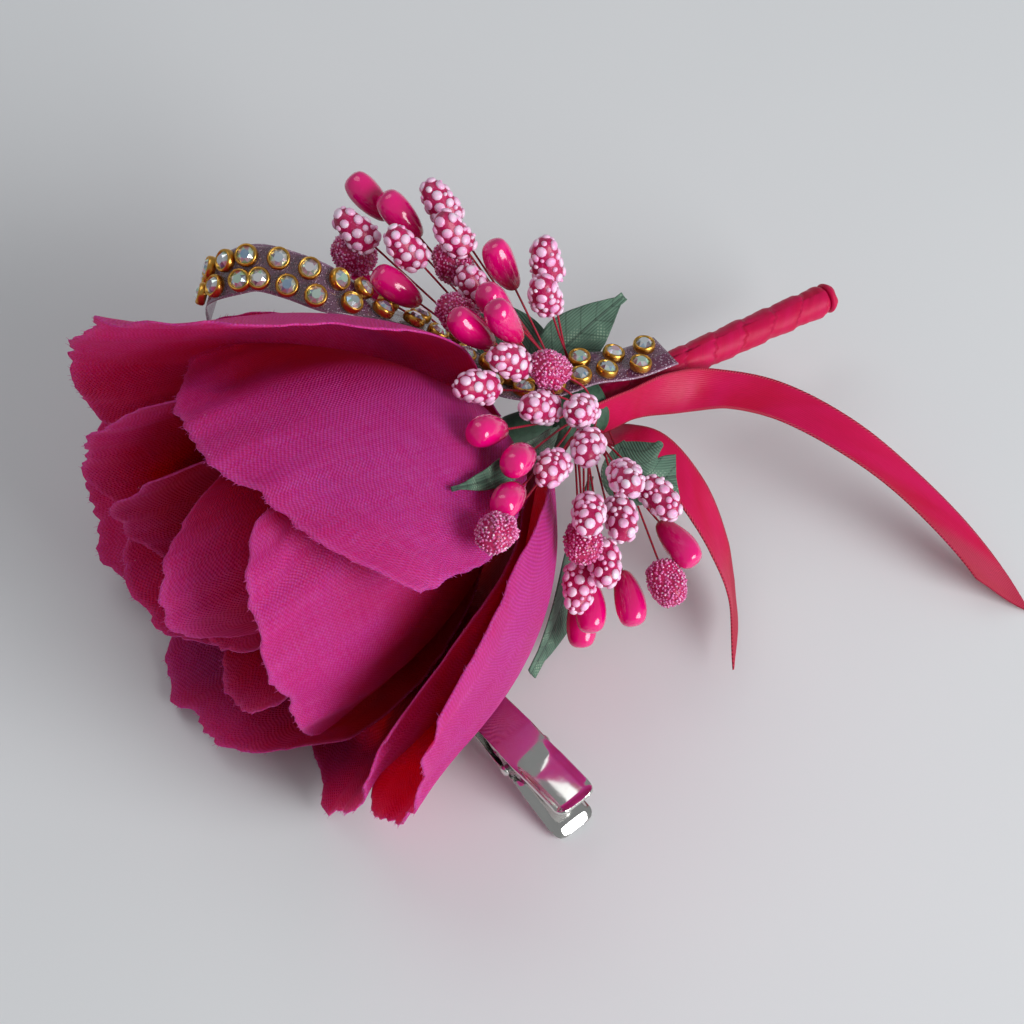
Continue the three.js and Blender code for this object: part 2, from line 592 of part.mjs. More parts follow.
// Leaves: stalk end, middle and tip of each, with the way each faces
const LEAF_SHARES = [
  { name: 'leaf_upper', width: 0.8, point: 0.9, placeShares: [[0.1, 0.48, 0.92], [0.26, 0.66, 1],
    [0.44, 0.82, 1.06], [0.66, 1.04, 1.06]], facingShares: [[0.2, -0.4, 1], [0.2, -0.5, 1], [0.3, -0.6, 1]] },
  { name: 'leaf_lower', width: 1, point: 0.4, placeShares: [[0.61, -0.06, 1], [0.69, -0.2, 0.96],
    [0.8, -0.26, 0.9], [0.98, -0.22, 0.84]], facingShares: [[0, -0.5, 1], [0, -0.6, 1], [0, -0.4, 1]] },
  { name: 'leaf_back', width: 1, point: 0.7, placeShares: [[0.04, 0.38, 0.82], [-0.01, 0.61, 0.88],
    [-0.18, 0.86, 0.94], [-0.46, 1.1, 0.98]], facingShares: [[0.1, -0.3, 1], [0, -0.4, 1], [0, -0.6, 1]] },
  { name: 'leaf_centre', width: 0.36, point: 1, placeShares: [[0.22, -0.04, 1.16], [0.1, -0.42, 1.56],
    [-0.12, -0.77, 1.86], [-0.27, -0.96, 2.03], [-0.44, -1.08, 2.15]],
  facingShares: [[0.3, -0.6, 1], [0.1, -0.7, 0.8], [0, -0.6, 0.9]] },
  { name: 'leaf_long', width: 0.8, point: 0.7, placeShares: [[0.43, -0.12, 0.68], [0.33, -0.5, 0.36],
    [0.2, -0.96, 0.22], [0.04, -1.3, 0.16]], facingShares: [[1, -0.4, 0.5], [1, -0.4, 0.4], [1, -0.5, 0.4]] },
];
const LEAF_CELLS_ACROSS = 4;
const LEAF_CELLS_ALONG = 7;

for (const leaf of LEAF_SHARES) {
  const widthAt = (v) => {
    const swell = Math.sin(Math.PI * (1 - (1 - v) ** 1.25)) ** 0.8;
    const blunt = 1 - leaf.point;
    return LEAF_HALF_WIDTH * leaf.width * Math.max(LEAF_STALK_SHARE, swell, blunt * smooth(0.3, 0.9, v));
  };
  const surface = strapSurface(
    fromShares(leaf.placeShares, LEAF_REACH), facingsFrom(leaf.facingShares), widthAt, LEAF_CREASE_SHARE);
  addMesh(leaf.name, sheetGeometry(surface, LEAF_CELLS_ACROSS, LEAF_CELLS_ALONG, LEAF_THICKNESS), 'leaf');
}

// Ribbon tails, from the binding to their cut ends
const RIBBON_SHARES = [
  { name: 'ribbon_tail_long', cells: 20, slant: 0.06, placeShares: [[0.178, 0.054, 0.308],
    [0.236, 0.091, 0.295], [0.319, 0.121, 0.283], [0.412, 0.141, 0.262], [0.528, 0.125, 0.24],
    [0.691, 0.045, 0.2], [0.838, -0.054, 0.125], [0.962, -0.178, 0.05], [1.011, -0.264, 0.012]],
  facingShares: [[0.56, -0.79, 0.25], [0.56, -0.79, 0.25], [0.4, -0.6, 0.7], [0, -0.1, 1], [0, 0, 1],
    [0.1, 0.1, 1], [0.3, 0.2, 1], [0.4, 0.2, 1], [0.2, 0.1, 1]] },
  { name: 'ribbon_tail_short', cells: 16, slant: -0.1, placeShares: [[0.158, 0.05, 0.24],
    [0.21, 0.036, 0.245], [0.26, 0.012, 0.25], [0.338, -0.07, 0.212], [0.4, -0.168, 0.138],
    [0.431, -0.266, 0.063], [0.442, -0.386, 0.019]],
  facingShares: [[-0.24, 0.61, 0.75], [-0.1, 0.4, 0.9], [0, 0.3, 1], [0.2, 0.2, 1], [0.5, 0.3, 0.7],
    [1, 0.3, 0.5], [1, 0.2, 0.6]] },
];

for (const ribbon of RIBBON_SHARES) {
  const flat = strapSurface(
    fromShares(ribbon.placeShares, RIBBON_REACH), facingsFrom(ribbon.facingShares), () => RIBBON_WIDTH / 2);
  const cut = (u, v) => flat(u, THREE.MathUtils.clamp(v * (1 - Math.abs(ribbon.slant) + ribbon.slant * u), 0, 1));
  addMesh(ribbon.name, sheetGeometry(cut, 2, ribbon.cells, RIBBON_THICKNESS), 'satin');
}

// Rhinestone band: a clear tape from the stem over the rose, with two rows of gold cups on it.
// Each place is degrees about the rose axis, then radius and height as shares of the reach.
const BAND_SHARES = {
  placeShares: [[10, 0.108, -0.68], [15, 0.115, -0.5], [22, 0.16, -0.32], [24, 0.162, -0.2], [31, 0.17, -0.05],
    [45, 0.22, 0.055], [60, 0.37, 0.105], [66, 0.515, 0.175], [60, 0.62, 0.32], [54, 0.725, 0.46], [52, 0.81, 0.58],
    [55, 0.9, 0.67], [58, 0.98, 0.77], [61, 1, 0.84], [68, 1.02, 0.88], [78, 1.04, 0.84], [86, 1.05, 0.8]],
  facingShares: [[-0.1, 0.2, 1], [-0.1, 0.2, 1], [-0.1, 0.2, 1], [-0.1, 0.3, 1], [0.1, 0.5, 0.8],
    [0.2, 0.5, 0.7], [0.2, 0.5, 0.7], [0.1, 0.4, 0.8], [0, 0, 1], [-0.1, -0.3, 1], [-0.2, -0.4, 1],
    [-0.4, -0.4, 0.9], [-0.8, -0.1, 0.6], [-1, 0.2, 0.2], [-1, 0.3, -0.2]],
};
const bandPoints = BAND_SHARES.placeShares.map(([around, radius, height]) => rose
  .localToWorld(aboutAxis(around, radius * BAND_REACH, height * BAND_REACH)));
const bandSurface = strapSurface(bandPoints, facingsFrom(BAND_SHARES.facingShares), () => BAND_WIDTH / 2);
addMesh('rhinestone_tape', sheetGeometry(bandSurface, 2, BAND_CELLS, BAND_THICKNESS), 'tape');

function cupChain() {
  const length = new THREE.CatmullRomCurve3(bandPoints, false, 'centripetal').getLength();
  const count = Math.floor((length - CUP_PITCH) / (CUP_PITCH / 2));
  const centres = [];
  let chain = null;
  for (let k = 0; k < count; k += 1) {
    const v = (CUP_PITCH / 2 + (k * CUP_PITCH) / 2) / length;
    const u = ((k % 2 ? 1 : -1) * CUP_ROW_SPACING) / BAND_WIDTH;
    const base = bandSurface(u, v);
    const across = bandSurface(1, v).sub(bandSurface(-1, v)).normalize();
    const along = bandSurface(u, v + 0.005).sub(bandSurface(u, v - 0.005)).normalize();
    const normal = along.clone().cross(across).normalize();
    const cup = new THREE.CylinderGeometry(CUP_RADIUS, CUP_RADIUS * CUP_FOOT_SHARE, CUP_HEIGHT, CUP_SIDES);
    const place = base.clone().addScaledVector(normal, BAND_THICKNESS / 2 + GAP + CUP_HEIGHT / 2);
    cup.applyMatrix4(new THREE.Matrix4().makeBasis(across, normal, across.clone().cross(normal)).setPosition(place));
    const solid = toSolid(cup);
    chain = chain ? chain.add(solid) : solid;
    centres.push(base.addScaledVector(normal, BAND_THICKNESS / 2 + GAP + CUP_HEIGHT / 3));
  }
  const link = toSolid(sweepGeometry(centres, centres.map(() => LINK_RADIUS), 4));
  return fromSolid(chain.add(link));
}
addMesh('rhinestone_cups', cupChain(), 'gold');

// Clip plates: a side outline bent over the pivot, cut to a plan with rounded corners
function plateSolid(side) {
  const handleHeight = side > 0 ? UPPER_HANDLE_HEIGHT : LOWER_HANDLE_DEPTH;
  const bite = (GAP + CLIP_PLATE) / 2;
  const middle = [
    [-CLIP_HANDLE_LENGTH, side * handleHeight],
    [-EAR_HALF_LENGTH, side * CLIP_PIVOT_OFFSET],
    [EAR_HALF_LENGTH, side * CLIP_PIVOT_OFFSET],
    [CLIP_JAW_LENGTH - CLIP_BITE_LENGTH, side * bite],
    [CLIP_JAW_LENGTH, side * bite],
  ];
  const outline = new THREE.Shape([
    ...middle.map(([x, z]) => new THREE.Vector2(x, z + CLIP_PLATE / 2)),
    ...middle.reverse().map(([x, z]) => new THREE.Vector2(x, z - CLIP_PLATE / 2)),
  ]);
  const bar = new THREE.ExtrudeGeometry(outline, { depth: CLIP_WIDTH, bevelEnabled: false });
  bar.translate(0, 0, -CLIP_WIDTH / 2).rotateX(Math.PI / 2);
  const plan = new THREE.Shape();
  const [back, front] = [-CLIP_HANDLE_LENGTH, CLIP_JAW_LENGTH];
  const [half, tip] = [CLIP_WIDTH / 2, CLIP_TIP_WIDTH / 2];
  plan.moveTo(EAR_HALF_LENGTH, -half);
  plan.absarc(front - CLIP_CORNER, -tip + CLIP_CORNER, CLIP_CORNER, -Math.PI / 2, 0, false);
  plan.absarc(front - CLIP_CORNER, tip - CLIP_CORNER, CLIP_CORNER, 0, Math.PI / 2, false);
  plan.lineTo(EAR_HALF_LENGTH, half);
  plan.absarc(back + CLIP_CORNER, half - CLIP_CORNER, CLIP_CORNER, Math.PI / 2, Math.PI, false);
  plan.absarc(back + CLIP_CORNER, -half + CLIP_CORNER, CLIP_CORNER, Math.PI, 1.5 * Math.PI, false);
  const reach = handleHeight + CUT_OVERRUN;
  const stamp = new THREE.ExtrudeGeometry(plan, { depth: 2 * reach, bevelEnabled: false, curveSegments: 3 });
  stamp.translate(0, 0, -reach);
  return toSolid(bar).intersect(toSolid(stamp));
}

// An ear from the plate to a round end about the pin, with its outer face at the given distance
function earSolid(side, outerFace) {
  const ear = new THREE.Shape();
  const top = side * (CLIP_PIVOT_OFFSET + CLIP_PLATE / 4);
  ear.moveTo(-EAR_HALF_LENGTH, top);
  ear.absarc(0, 0, EAR_RADIUS, Math.PI, 0, side > 0 ? false : true);
  ear.lineTo(EAR_HALF_LENGTH, top);
  const plate = new THREE.ExtrudeGeometry(ear, { depth: CLIP_PLATE, bevelEnabled: false, curveSegments: 8 });
  plate.rotateX(Math.PI / 2);
  return toSolid(plate).translate([0, outerFace, 0]);
}

function jawGeometry(side) {
  const outer = side > 0 ? CLIP_WIDTH / 2 : CLIP_WIDTH / 2 - CLIP_PLATE - GAP;
  const boreLength = CLIP_WIDTH + 2 * CUT_OVERRUN;
  const bore = new THREE.CylinderGeometry(PIN_RADIUS + GAP, PIN_RADIUS + GAP, boreLength, ROUND_SIDES);
  return fromSolid(plateSolid(side)
    .add(earSolid(side, outer))
    .add(earSolid(side, -outer + CLIP_PLATE))
    .subtract(toSolid(bore)));
}
addMesh('clip_upper_jaw', jawGeometry(1), 'nickel', clip);
addMesh('clip_lower_jaw', jawGeometry(-1), 'nickel', clip);

// Pin with a rounded head at each end
const PIN_REACH = CLIP_WIDTH / 2 + GAP;
addMesh('clip_pin', lathe([
  [0, -PIN_REACH - PIN_HEAD_HEIGHT],
  [PIN_HEAD_RADIUS / 2, -PIN_REACH - PIN_HEAD_HEIGHT],
  [PIN_HEAD_RADIUS, -PIN_REACH - PIN_HEAD_HEIGHT / 2],
  [PIN_HEAD_RADIUS, -PIN_REACH],
  [PIN_RADIUS, -PIN_REACH],
  [PIN_RADIUS, PIN_REACH],
  [PIN_HEAD_RADIUS, PIN_REACH],
  [PIN_HEAD_RADIUS, PIN_REACH + PIN_HEAD_HEIGHT / 2],
  [PIN_HEAD_RADIUS / 2, PIN_REACH + PIN_HEAD_HEIGHT],
  [0, PIN_REACH + PIN_HEAD_HEIGHT],
], 12).rotateX(Math.PI / 2), 'nickel', clip);

// Torsion spring on the pin: curls of 8 steps, then a leg along the inside of each handle
const CURL_STEPS = 8;
function springPoints() {
  const points = [];
  const turns = SPRING_TURNS + SPRING_PART_TURN_SHARE;
  const steps = Math.round(turns * CURL_STEPS);
  const width = (SPRING_PITCH * steps) / CURL_STEPS;
  for (let k = 0; k <= steps; k += 1) {
    const angle = SPRING_START * DEG + (2 * Math.PI * k) / CURL_STEPS;
    points.push(new THREE.Vector3(
      SPRING_RADIUS * Math.cos(angle), (SPRING_PITCH * k) / CURL_STEPS - width / 2, SPRING_RADIUS * Math.sin(angle)));
  }
  return points;
}
const curls = springPoints();
const legStart = new THREE.Vector3(-SPRING_LEG, 0, LEG_RISE);
const legEnd = new THREE.Vector3(-SPRING_LEG, 0, -LEG_DROP);
const springPath = [curls[0].clone().add(legStart), ...curls, curls.at(-1).clone().add(legEnd)];
addMesh('clip_spring', sweepGeometry(springPath, springPath.map(() => SPRING_WIRE / 2), 5), 'nickel', clip);

// Least gap of a wound piece to itself, between points at least half a turn apart
function leastSelfGap(points, halfTurn, reachAcross) {
  let least = Infinity;
  points.forEach((a, i) => {
    for (let j = i + halfTurn; j < points.length; j += 1) least = Math.min(least, a.distanceTo(points[j]));
  });
  return least - reachAcross;
}
console.log('clip_spring least gap to itself', leastSelfGap(curls, CURL_STEPS / 2, SPRING_WIRE).toFixed(2));
console.log('stem_wrap least gap to itself', (WRAP_PITCH - WRAP_WIDTH).toFixed(2));

// The finished part stands on the table, with its origin under the middle of its box
pieces.updateMatrixWorld(true);
const box = new THREE.Box3().setFromObject(pieces, true);
const centre = box.getCenter(new THREE.Vector3());
pieces.position.set(-centre.x, -centre.y, -box.min.z);
corsage.updateMatrixWorld(true);

export default corsage;
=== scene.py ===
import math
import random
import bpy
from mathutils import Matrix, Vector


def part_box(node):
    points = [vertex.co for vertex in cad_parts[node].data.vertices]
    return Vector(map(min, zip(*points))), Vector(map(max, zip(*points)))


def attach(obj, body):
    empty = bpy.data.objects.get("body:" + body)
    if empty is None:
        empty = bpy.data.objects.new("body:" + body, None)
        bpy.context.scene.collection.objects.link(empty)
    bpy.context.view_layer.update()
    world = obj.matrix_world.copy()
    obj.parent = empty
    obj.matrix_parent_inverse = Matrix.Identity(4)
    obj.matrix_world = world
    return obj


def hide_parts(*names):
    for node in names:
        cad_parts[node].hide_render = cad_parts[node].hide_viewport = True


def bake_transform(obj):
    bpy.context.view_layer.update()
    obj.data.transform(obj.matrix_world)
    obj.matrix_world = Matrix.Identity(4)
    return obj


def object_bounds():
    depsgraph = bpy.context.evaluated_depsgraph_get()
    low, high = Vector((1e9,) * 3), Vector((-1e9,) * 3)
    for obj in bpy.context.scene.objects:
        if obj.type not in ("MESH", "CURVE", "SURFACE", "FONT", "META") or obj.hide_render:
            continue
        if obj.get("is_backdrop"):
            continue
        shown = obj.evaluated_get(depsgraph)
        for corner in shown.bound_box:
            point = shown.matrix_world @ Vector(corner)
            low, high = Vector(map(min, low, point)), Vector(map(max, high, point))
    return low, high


bl_info = {
    "name": "Pin-on corsage",
    "version": (1, 0, 0),
    "blender": (4, 5, 0),
    "location": "3D View > Sidebar > Corsage",
    "description": "Fabric rose with a spray, a rhinestone band, ribbon tails and an alligator clip",
    "category": "Object",
}

import bmesh
import bpy
from bpy.props import FloatProperty, FloatVectorProperty, IntProperty, PointerProperty
from mathutils import Matrix, Quaternion, Vector, noise
from mathutils.bvhtree import BVHTree

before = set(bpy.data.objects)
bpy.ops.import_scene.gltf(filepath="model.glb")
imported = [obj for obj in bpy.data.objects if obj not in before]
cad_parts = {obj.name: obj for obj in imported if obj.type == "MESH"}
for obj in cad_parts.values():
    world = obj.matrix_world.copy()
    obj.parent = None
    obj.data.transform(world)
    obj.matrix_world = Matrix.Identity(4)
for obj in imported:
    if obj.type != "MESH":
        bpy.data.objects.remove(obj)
CAD_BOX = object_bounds()

# Millimetres in the tables and sums below; meshes are in metres
MM = 0.001
TURN = 2 * math.pi

# Places of the model's own frames: the pin of the clip shows where the pieces stand in the box
CLIP_PIVOT = Vector((0.1, -48.2, 6.5))
PIN_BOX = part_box("clip_pin")
PIECES_ORIGIN = (PIN_BOX[0] + PIN_BOX[1]) / (2 * MM) - CLIP_PIVOT
CLIP_YAW = math.radians(129.5)

# Rose frame: axis from base to mouth, the side that is nearest to up, and the third side
ROSE_YAW = math.radians(33)
ROSE_PITCH = math.radians(10.1)
ROSE_BASE = Vector((0, 0, 26))
ROSE_AXIS = Vector((
    -math.cos(ROSE_YAW) * math.cos(ROSE_PITCH),
    -math.sin(ROSE_YAW) * math.cos(ROSE_PITCH),
    math.sin(ROSE_PITCH),
))
ROSE_UP = (Vector((0, 0, 1)) - ROSE_AXIS * ROSE_AXIS.z).normalized()
ROSE_SIDE = ROSE_AXIS.cross(ROSE_UP)

# Cells of the meshes, across and along, or round and along
LEAF_CELLS = (20, 64)
RIBBON_CELLS = (18, 130)
FILM_CELLS = (10, 200)
PLATE_CELLS = (28, 120)
EAR_CELLS = (40, 14)
HUB_CELLS = (40, 190)
BINDING_CELLS = (48, 70)
END_FOLD_CELLS = (60, 36)
HEAD_CELLS = (26, 26)
THREAD_CELLS = (7, 60)
SPRING_CELLS = (10, 260)
WRAP_CELLS_ROUND = 64
CUP_STEPS = 24
PIN_STEPS = 36

# Lamps and sky: places and sizes in metres, powers in watts
LAMPS = {
    "main_lamp": dict(place=(0.72, -0.5, 0.45), size=0.7, power=9),
    "fill_lamp": dict(place=(-0.35, 0.5, 0.9), size=0.7, power=1.5),
}
LAMPS_AIM = (0, 0, 0.03)
SKY_COLOUR = (0.96, 0.98, 1, 1)
SKY_STRENGTH = 0.29
FLOOR_HALF_WIDTH = 1.6

# Finishing sizes of the meshes, in metres, and the turn between neighbours on a sunflower's spiral
LEAF_THICKNESS = 0.00025
FILM_THICKNESS = 0.00022
PLATE_THICKNESS = 0.00045
PLATE_BEVEL = 0.00012
MERGE_DISTANCE = 0.000001
GOLDEN_ANGLE = 2.39996
GOLDEN_SHARE = 0.618034

# Cells of the grid on which a petal's painted shade is found from how much the other petals hide it, and
# the rays at each of its corners
PAINTED_SHADE_CELLS = (14, 16)
PAINTED_SHADE_RAYS = 26
AREA_ROWS = 40

# Camera: it looks along +Y and down, at the middle of the photograph
CAMERA_TARGET = (-7.35, -4.68, 35.14)
CAMERA_ELEVATION = math.radians(60)
CAMERA_DISTANCE = 450
CAMERA_VIEW_WIDTH = 158.7

GAP = 0.3

# Petals, as shares of the largest one; angles in degrees, the way the solids have them
PETAL_LENGTH = 74
PETAL_HALF_WIDTH = 30
PETAL_THICKNESS = 0.5
PETAL_ROLL = 3
PETAL_WAVE = 1.2
PETAL_TUCK = 2.5
PETAL_SLACK = 2
PETAL_TIGHTEST_BEND = 6
PETAL_FOOT_SHARE = 0.11
LAYER_SPACING = 5 * PETAL_THICKNESS
LIFT_SOFTNESS = 1.5
HUB_RADIUS = 3.7
HUB_HEIGHT = 17
PROFILE_STEPS = 40

PETAL_USUAL = dict(width=1, lip=10, bend=1.05, roll=0.33, trim=0.35, wave=0.67, waves=3, phase=0.2,
                   slant=0, cut=0, layer=4)
PETALS = {
    "petal_top": dict(around=2, foot=0.3, length=0.865, flare=(64, 35, -4, 0), lip=-8, bend=1.15, roll=1,
        trim=0.22, waves=2.4, phase=0.4, slant=-0.1, tuck=1, layer=1),
    "petal_upper_back": dict(around=66, foot=0.24, length=0.973, flare=(66, 44, -10, 28), lip=6,
        bend=1.12, trim=0.14, wave=1, phase=1, tuck=1.2, cut=0.45, layer=0),
    "petal_far_left": dict(around=130, foot=0.18, length=0.973, width=0.97, flare=(66, 40, 0, 20),
        bend=1.1, trim=0.2, wave=0.83, waves=3.5, phase=2, tuck=1.8, layer=0.6),
    "petal_low_left": dict(around=185, foot=0.12, length=0.986, width=0.91, flare=(64, 42, 0, 6), lip=12,
        bend=1.1, roll=0.5, trim=0.22, wave=0.83, waves=3.2, phase=0, tuck=1.6, layer=0.5),
    "petal_bottom": dict(around=238, foot=0.04, length=0.93, flare=(66, 46, 6, 20), lip=15, bend=1.3,
        roll=0.5, trim=0.1, wave=0.83, waves=2.6, phase=1.4, slant=-0.02, tuck=1.7, layer=0.2),
    "petal_right_droop": dict(around=251, foot=-0.05, length=0.946, flare=(76, 52, 14, 16), lip=12,
        bend=0.82, roll=0.6, trim=0.06, waves=2, phase=0.4, slant=-0.05, tuck=0.85, layer=-0.17),
    "petal_front": dict(around=287, foot=0.4, length=0.86, flare=(50, 34, 0, 2), lip=8, bend=1,
        roll=0.27, trim=0.14, wave=0.42, waves=2.2, phase=0, slant=-0.14, tuck=1.12, layer=2),
    "petal_inner_back": dict(around=82, foot=0.6, length=0.84, width=0.76, flare=(44, 32, -4, 10),
        lip=16, roll=0.1, trim=0.25, phase=0.5, tuck=1.3, layer=3),
    "petal_inner_left": dict(around=148, foot=0.55, length=0.81, width=0.73, flare=(42, 28, 0, 0),
        trim=0.3, phase=1.5, tuck=1.2, layer=3),
    "petal_inner_low": dict(around=214, foot=0.5, length=0.757, width=0.73, flare=(44, 30, 0, 4), lip=20,
        trim=0.3, tuck=0.6, layer=3),
    "petal_heart_back": dict(around=100, foot=0.7, length=0.76, width=0.6, flare=(24, 26, -4, 6), lip=15,
        roll=0.17, trim=0.34, wave=0.5, tuck=-0.1),
    "petal_heart_low": dict(around=190, foot=0.7, length=0.676, width=0.57, flare=(22, 18, -6, 6),
        roll=0.17, wave=0.5, phase=1.2, tuck=-0.5),
    "petal_heart": dict(around=316, foot=0.82, length=0.79, width=0.57, flare=(14, 18, -8, -4), lip=4,
        roll=0.17, wave=0.33, tuck=-0.4),
    "petal_bud": dict(around=100, foot=0.88, length=0.568, width=0.3, flare=(8, 10, -10, -8), lip=0,
        bend=0.9, roll=0.07, wave=0.25, tuck=0, layer=5),
}
PETALS = {node: PETAL_USUAL | petal for node, petal in PETALS.items()}

# Stem, its ribbon winding, and the binding that holds the spray
STEM_RADIUS = 1.6
WRAP_WIDTH = 5.4
WRAP_PITCH = 6
WRAP_THICKNESS = 0.9
WRAP_TURNS = 7
BINDING_RADIUS = 5.2
BINDING_LENGTH = 9.5
BINDING_SETBACK = 4.4
BINDING_FRONT = -BINDING_SETBACK
BINDING_BACK = BINDING_FRONT - BINDING_LENGTH
STEM_LENGTH = BINDING_SETBACK + BINDING_LENGTH + GAP + WRAP_WIDTH + WRAP_TURNS * WRAP_PITCH
WRAP_OUTER = STEM_RADIUS + GAP + WRAP_THICKNESS

# Stamens: bend of the folded wire on the binding, then the head at each end of it
SPRAY_REACH = 40
WIRE_RADIUS = 0.3
BEND_HALF_ANGLE = 8
FAN_RADIUS = 11
FAN_SHARE = 0.45
FAN_HEIGHT_SHARE = 0.2
HEAD_SIZES = {"pip": (2.5, 9.4), "dotted": (2.8, 8.2), "sugar": (3, 7.6)}
STAMENS = {
    "pip": [
        ((90, 0.55), [(60, 0.99, 0.12), (66, 1.12, 0.16)]),
        ((70, 0.1), [(55, 0.73, 0.29), (76, 0.79, 0.27)]),
        ((72, 0.63), [(28, 0.6, 0.04), (44, 0.67, -0.12)]),
        ((-20, 0.04), [(9.5, 0.66, 0.13), (18.5, 0.6, 0.22)]),
        ((-38, 0.12), [(-37, 0.66, 0.38), (-24, 0.61, 0.43)]),
        ((-53, 0.1), [(-46, 0.72, 0.5)]),
        ((-128, 0.37), [(-125, 0.79, 0.07), (-112, 0.74, 0.09)]),
        ((-116, 0.63), [(-108, 0.79, -0.05), (-98, 0.7, -0.3)]),
    ],
    "dotted": [
        ((90, 0.3), [(51, 0.87, 0.22), (61, 1.01, 0.32)]),
        ((90, 0.8), [(47, 0.86, 0.03), (56, 0.98, -0.03)]),
        ((74, 0.9), [(25, 0.57, -0.17), (36, 0.65, -0.27)]),
        ((-19, 0.37), [(-3, 0.52, 0.34), (0, 0.56, 0.18)]),
        ((-40, 0.38), [(-46, 0.61, 0.24), (-22, 0.47, 0.13)]),
        ((-36, 0.63), [(-46, 0.56, 0.04), (-31, 0.5, -0.02)]),
        ((-61, 0.4), [(-63, 0.7, 0.18), (-54, 0.76, 0.02)]),
        ((-80, 0.6), [(-82, 0.58, -0.26), (-78, 0.62, -0.03)]),
        ((-98, 0.37), [(-102, 0.68, 0.16), (-91, 0.68, 0.07)]),
        ((74, 0.37), [(45, 0.63, 0.02)]),
    ],
    "sugar": [
        ((110, 0.25), [(71, 0.95, 0.3)]),
        ((70, 0.16), [(37, 0.585, 0.17), (55, 0.74, 0.02)]),
        ((-20, 0.63), [(-8, 0.51, 0.02)]),
        ((-70, 0.1), [(-50, 0.86, 0.66)]),
        ((-96, 0.9), [(-102, 0.82, -0.19)]),
        ((-84, 0.15), [(-76, 0.66, 0.18)]),
    ],
}

# Leaves, ribbon tails and the band: places and facings as shares of a reach
LEAF_REACH = 25
LEAF_HALF_WIDTH = 6
LEAF_STALK_SHARE = 0.16
LEAF_CREASE_SHARE = 0.2
LEAVES = {
    "leaf_upper": dict(
        width=0.8, point=0.9, facings=[(0.2, -0.4, 1), (0.2, -0.5, 1), (0.3, -0.6, 1)],
        places=[(0.1, 0.48, 0.92), (0.26, 0.66, 1), (0.44, 0.82, 1.06), (0.66, 1.04, 1.06)]),
    "leaf_lower": dict(
        width=1, point=0.4, facings=[(0, -0.5, 1), (0, -0.6, 1), (0, -0.4, 1)],
        places=[(0.61, -0.06, 1), (0.69, -0.2, 0.96), (0.8, -0.26, 0.9), (0.98, -0.22, 0.84)]),
    "leaf_back": dict(
        width=1, point=0.7, facings=[(0.1, -0.3, 1), (0, -0.4, 1), (0, -0.6, 1)],
        places=[(0.04, 0.38, 0.82), (-0.01, 0.61, 0.88), (-0.18, 0.86, 0.94), (-0.46, 1.1, 0.98)]),
    "leaf_centre": dict(
        width=0.36, point=1, facings=[(0.3, -0.6, 1), (0.1, -0.7, 0.8), (0, -0.6, 0.9)],
        places=[(0.22, -0.04, 1.16), (0.1, -0.42, 1.56), (-0.12, -0.77, 1.86), (-0.27, -0.96, 2.03),
                (-0.44, -1.08, 2.15)]),
    "leaf_long": dict(
        width=0.8, point=0.7, facings=[(1, -0.4, 0.5), (1, -0.4, 0.4), (1, -0.5, 0.4)],
        places=[(0.43, -0.12, 0.68), (0.33, -0.5, 0.36), (0.2, -0.96, 0.22), (0.04, -1.3, 0.16)]),
}

RIBBON_REACH = 80
RIBBON_WIDTH = 7
RIBBONS = {
    "ribbon_tail_long": dict(
        slant=0.06,
        places=[(0.178, 0.054, 0.308), (0.236, 0.091, 0.295), (0.319, 0.121, 0.283), (0.412, 0.141, 0.262),
                (0.528, 0.125, 0.24), (0.691, 0.045, 0.2), (0.838, -0.054, 0.125), (0.962, -0.178, 0.05),
                (1.011, -0.264, 0.012)],
        facings=[(0.56, -0.79, 0.25), (0.56, -0.79, 0.25), (0.4, -0.6, 0.7), (0, -0.1, 1), (0, 0, 1),
                 (0.1, 0.1, 1), (0.3, 0.2, 1), (0.4, 0.2, 1), (0.2, 0.1, 1)]),
    "ribbon_tail_short": dict(
        slant=-0.1,
        places=[(0.158, 0.05, 0.24), (0.21, 0.036, 0.245), (0.26, 0.012, 0.25), (0.338, -0.07, 0.212),
                (0.4, -0.168, 0.138), (0.431, -0.266, 0.063), (0.442, -0.386, 0.019)],
        facings=[(-0.24, 0.61, 0.75), (-0.1, 0.4, 0.9), (0, 0.3, 1), (0.2, 0.2, 1), (0.5, 0.3, 0.7),
                 (1, 0.3, 0.5), (1, 0.2, 0.6)]),
}

BAND_REACH = 41
BAND_WIDTH = 7.5
BAND_THICKNESS = 0.5
CUP_RADIUS = 1.88
CUP_HEIGHT = 1.5
CUP_PITCH = 5.4
CUP_ROW_SPACING = 3.7
BAND_PLACES = [
    (10, 0.108, -0.68), (15, 0.115, -0.5), (22, 0.16, -0.32), (24, 0.162, -0.2), (31, 0.17, -0.05),
    (45, 0.22, 0.055), (60, 0.37, 0.105), (66, 0.515, 0.175), (60, 0.62, 0.32), (54, 0.725, 0.46),
    (52, 0.81, 0.58), (55, 0.9, 0.67), (58, 0.98, 0.77), (61, 1, 0.84), (68, 1.02, 0.88), (78, 1.04, 0.84),
    (86, 1.05, 0.8),
]
BAND_FACINGS = [
    (-0.1, 0.2, 1), (-0.1, 0.2, 1), (-0.1, 0.2, 1), (-0.1, 0.3, 1), (0.1, 0.5, 0.8), (0.2, 0.5, 0.7),
    (0.2, 0.5, 0.7), (0.1, 0.4, 0.8), (0, 0, 1), (-0.1, -0.3, 1), (-0.2, -0.4, 1), (-0.4, -0.4, 0.9),
    (-0.8, -0.1, 0.6), (-1, 0.2, 0.2), (-1, 0.3, -0.2),
]

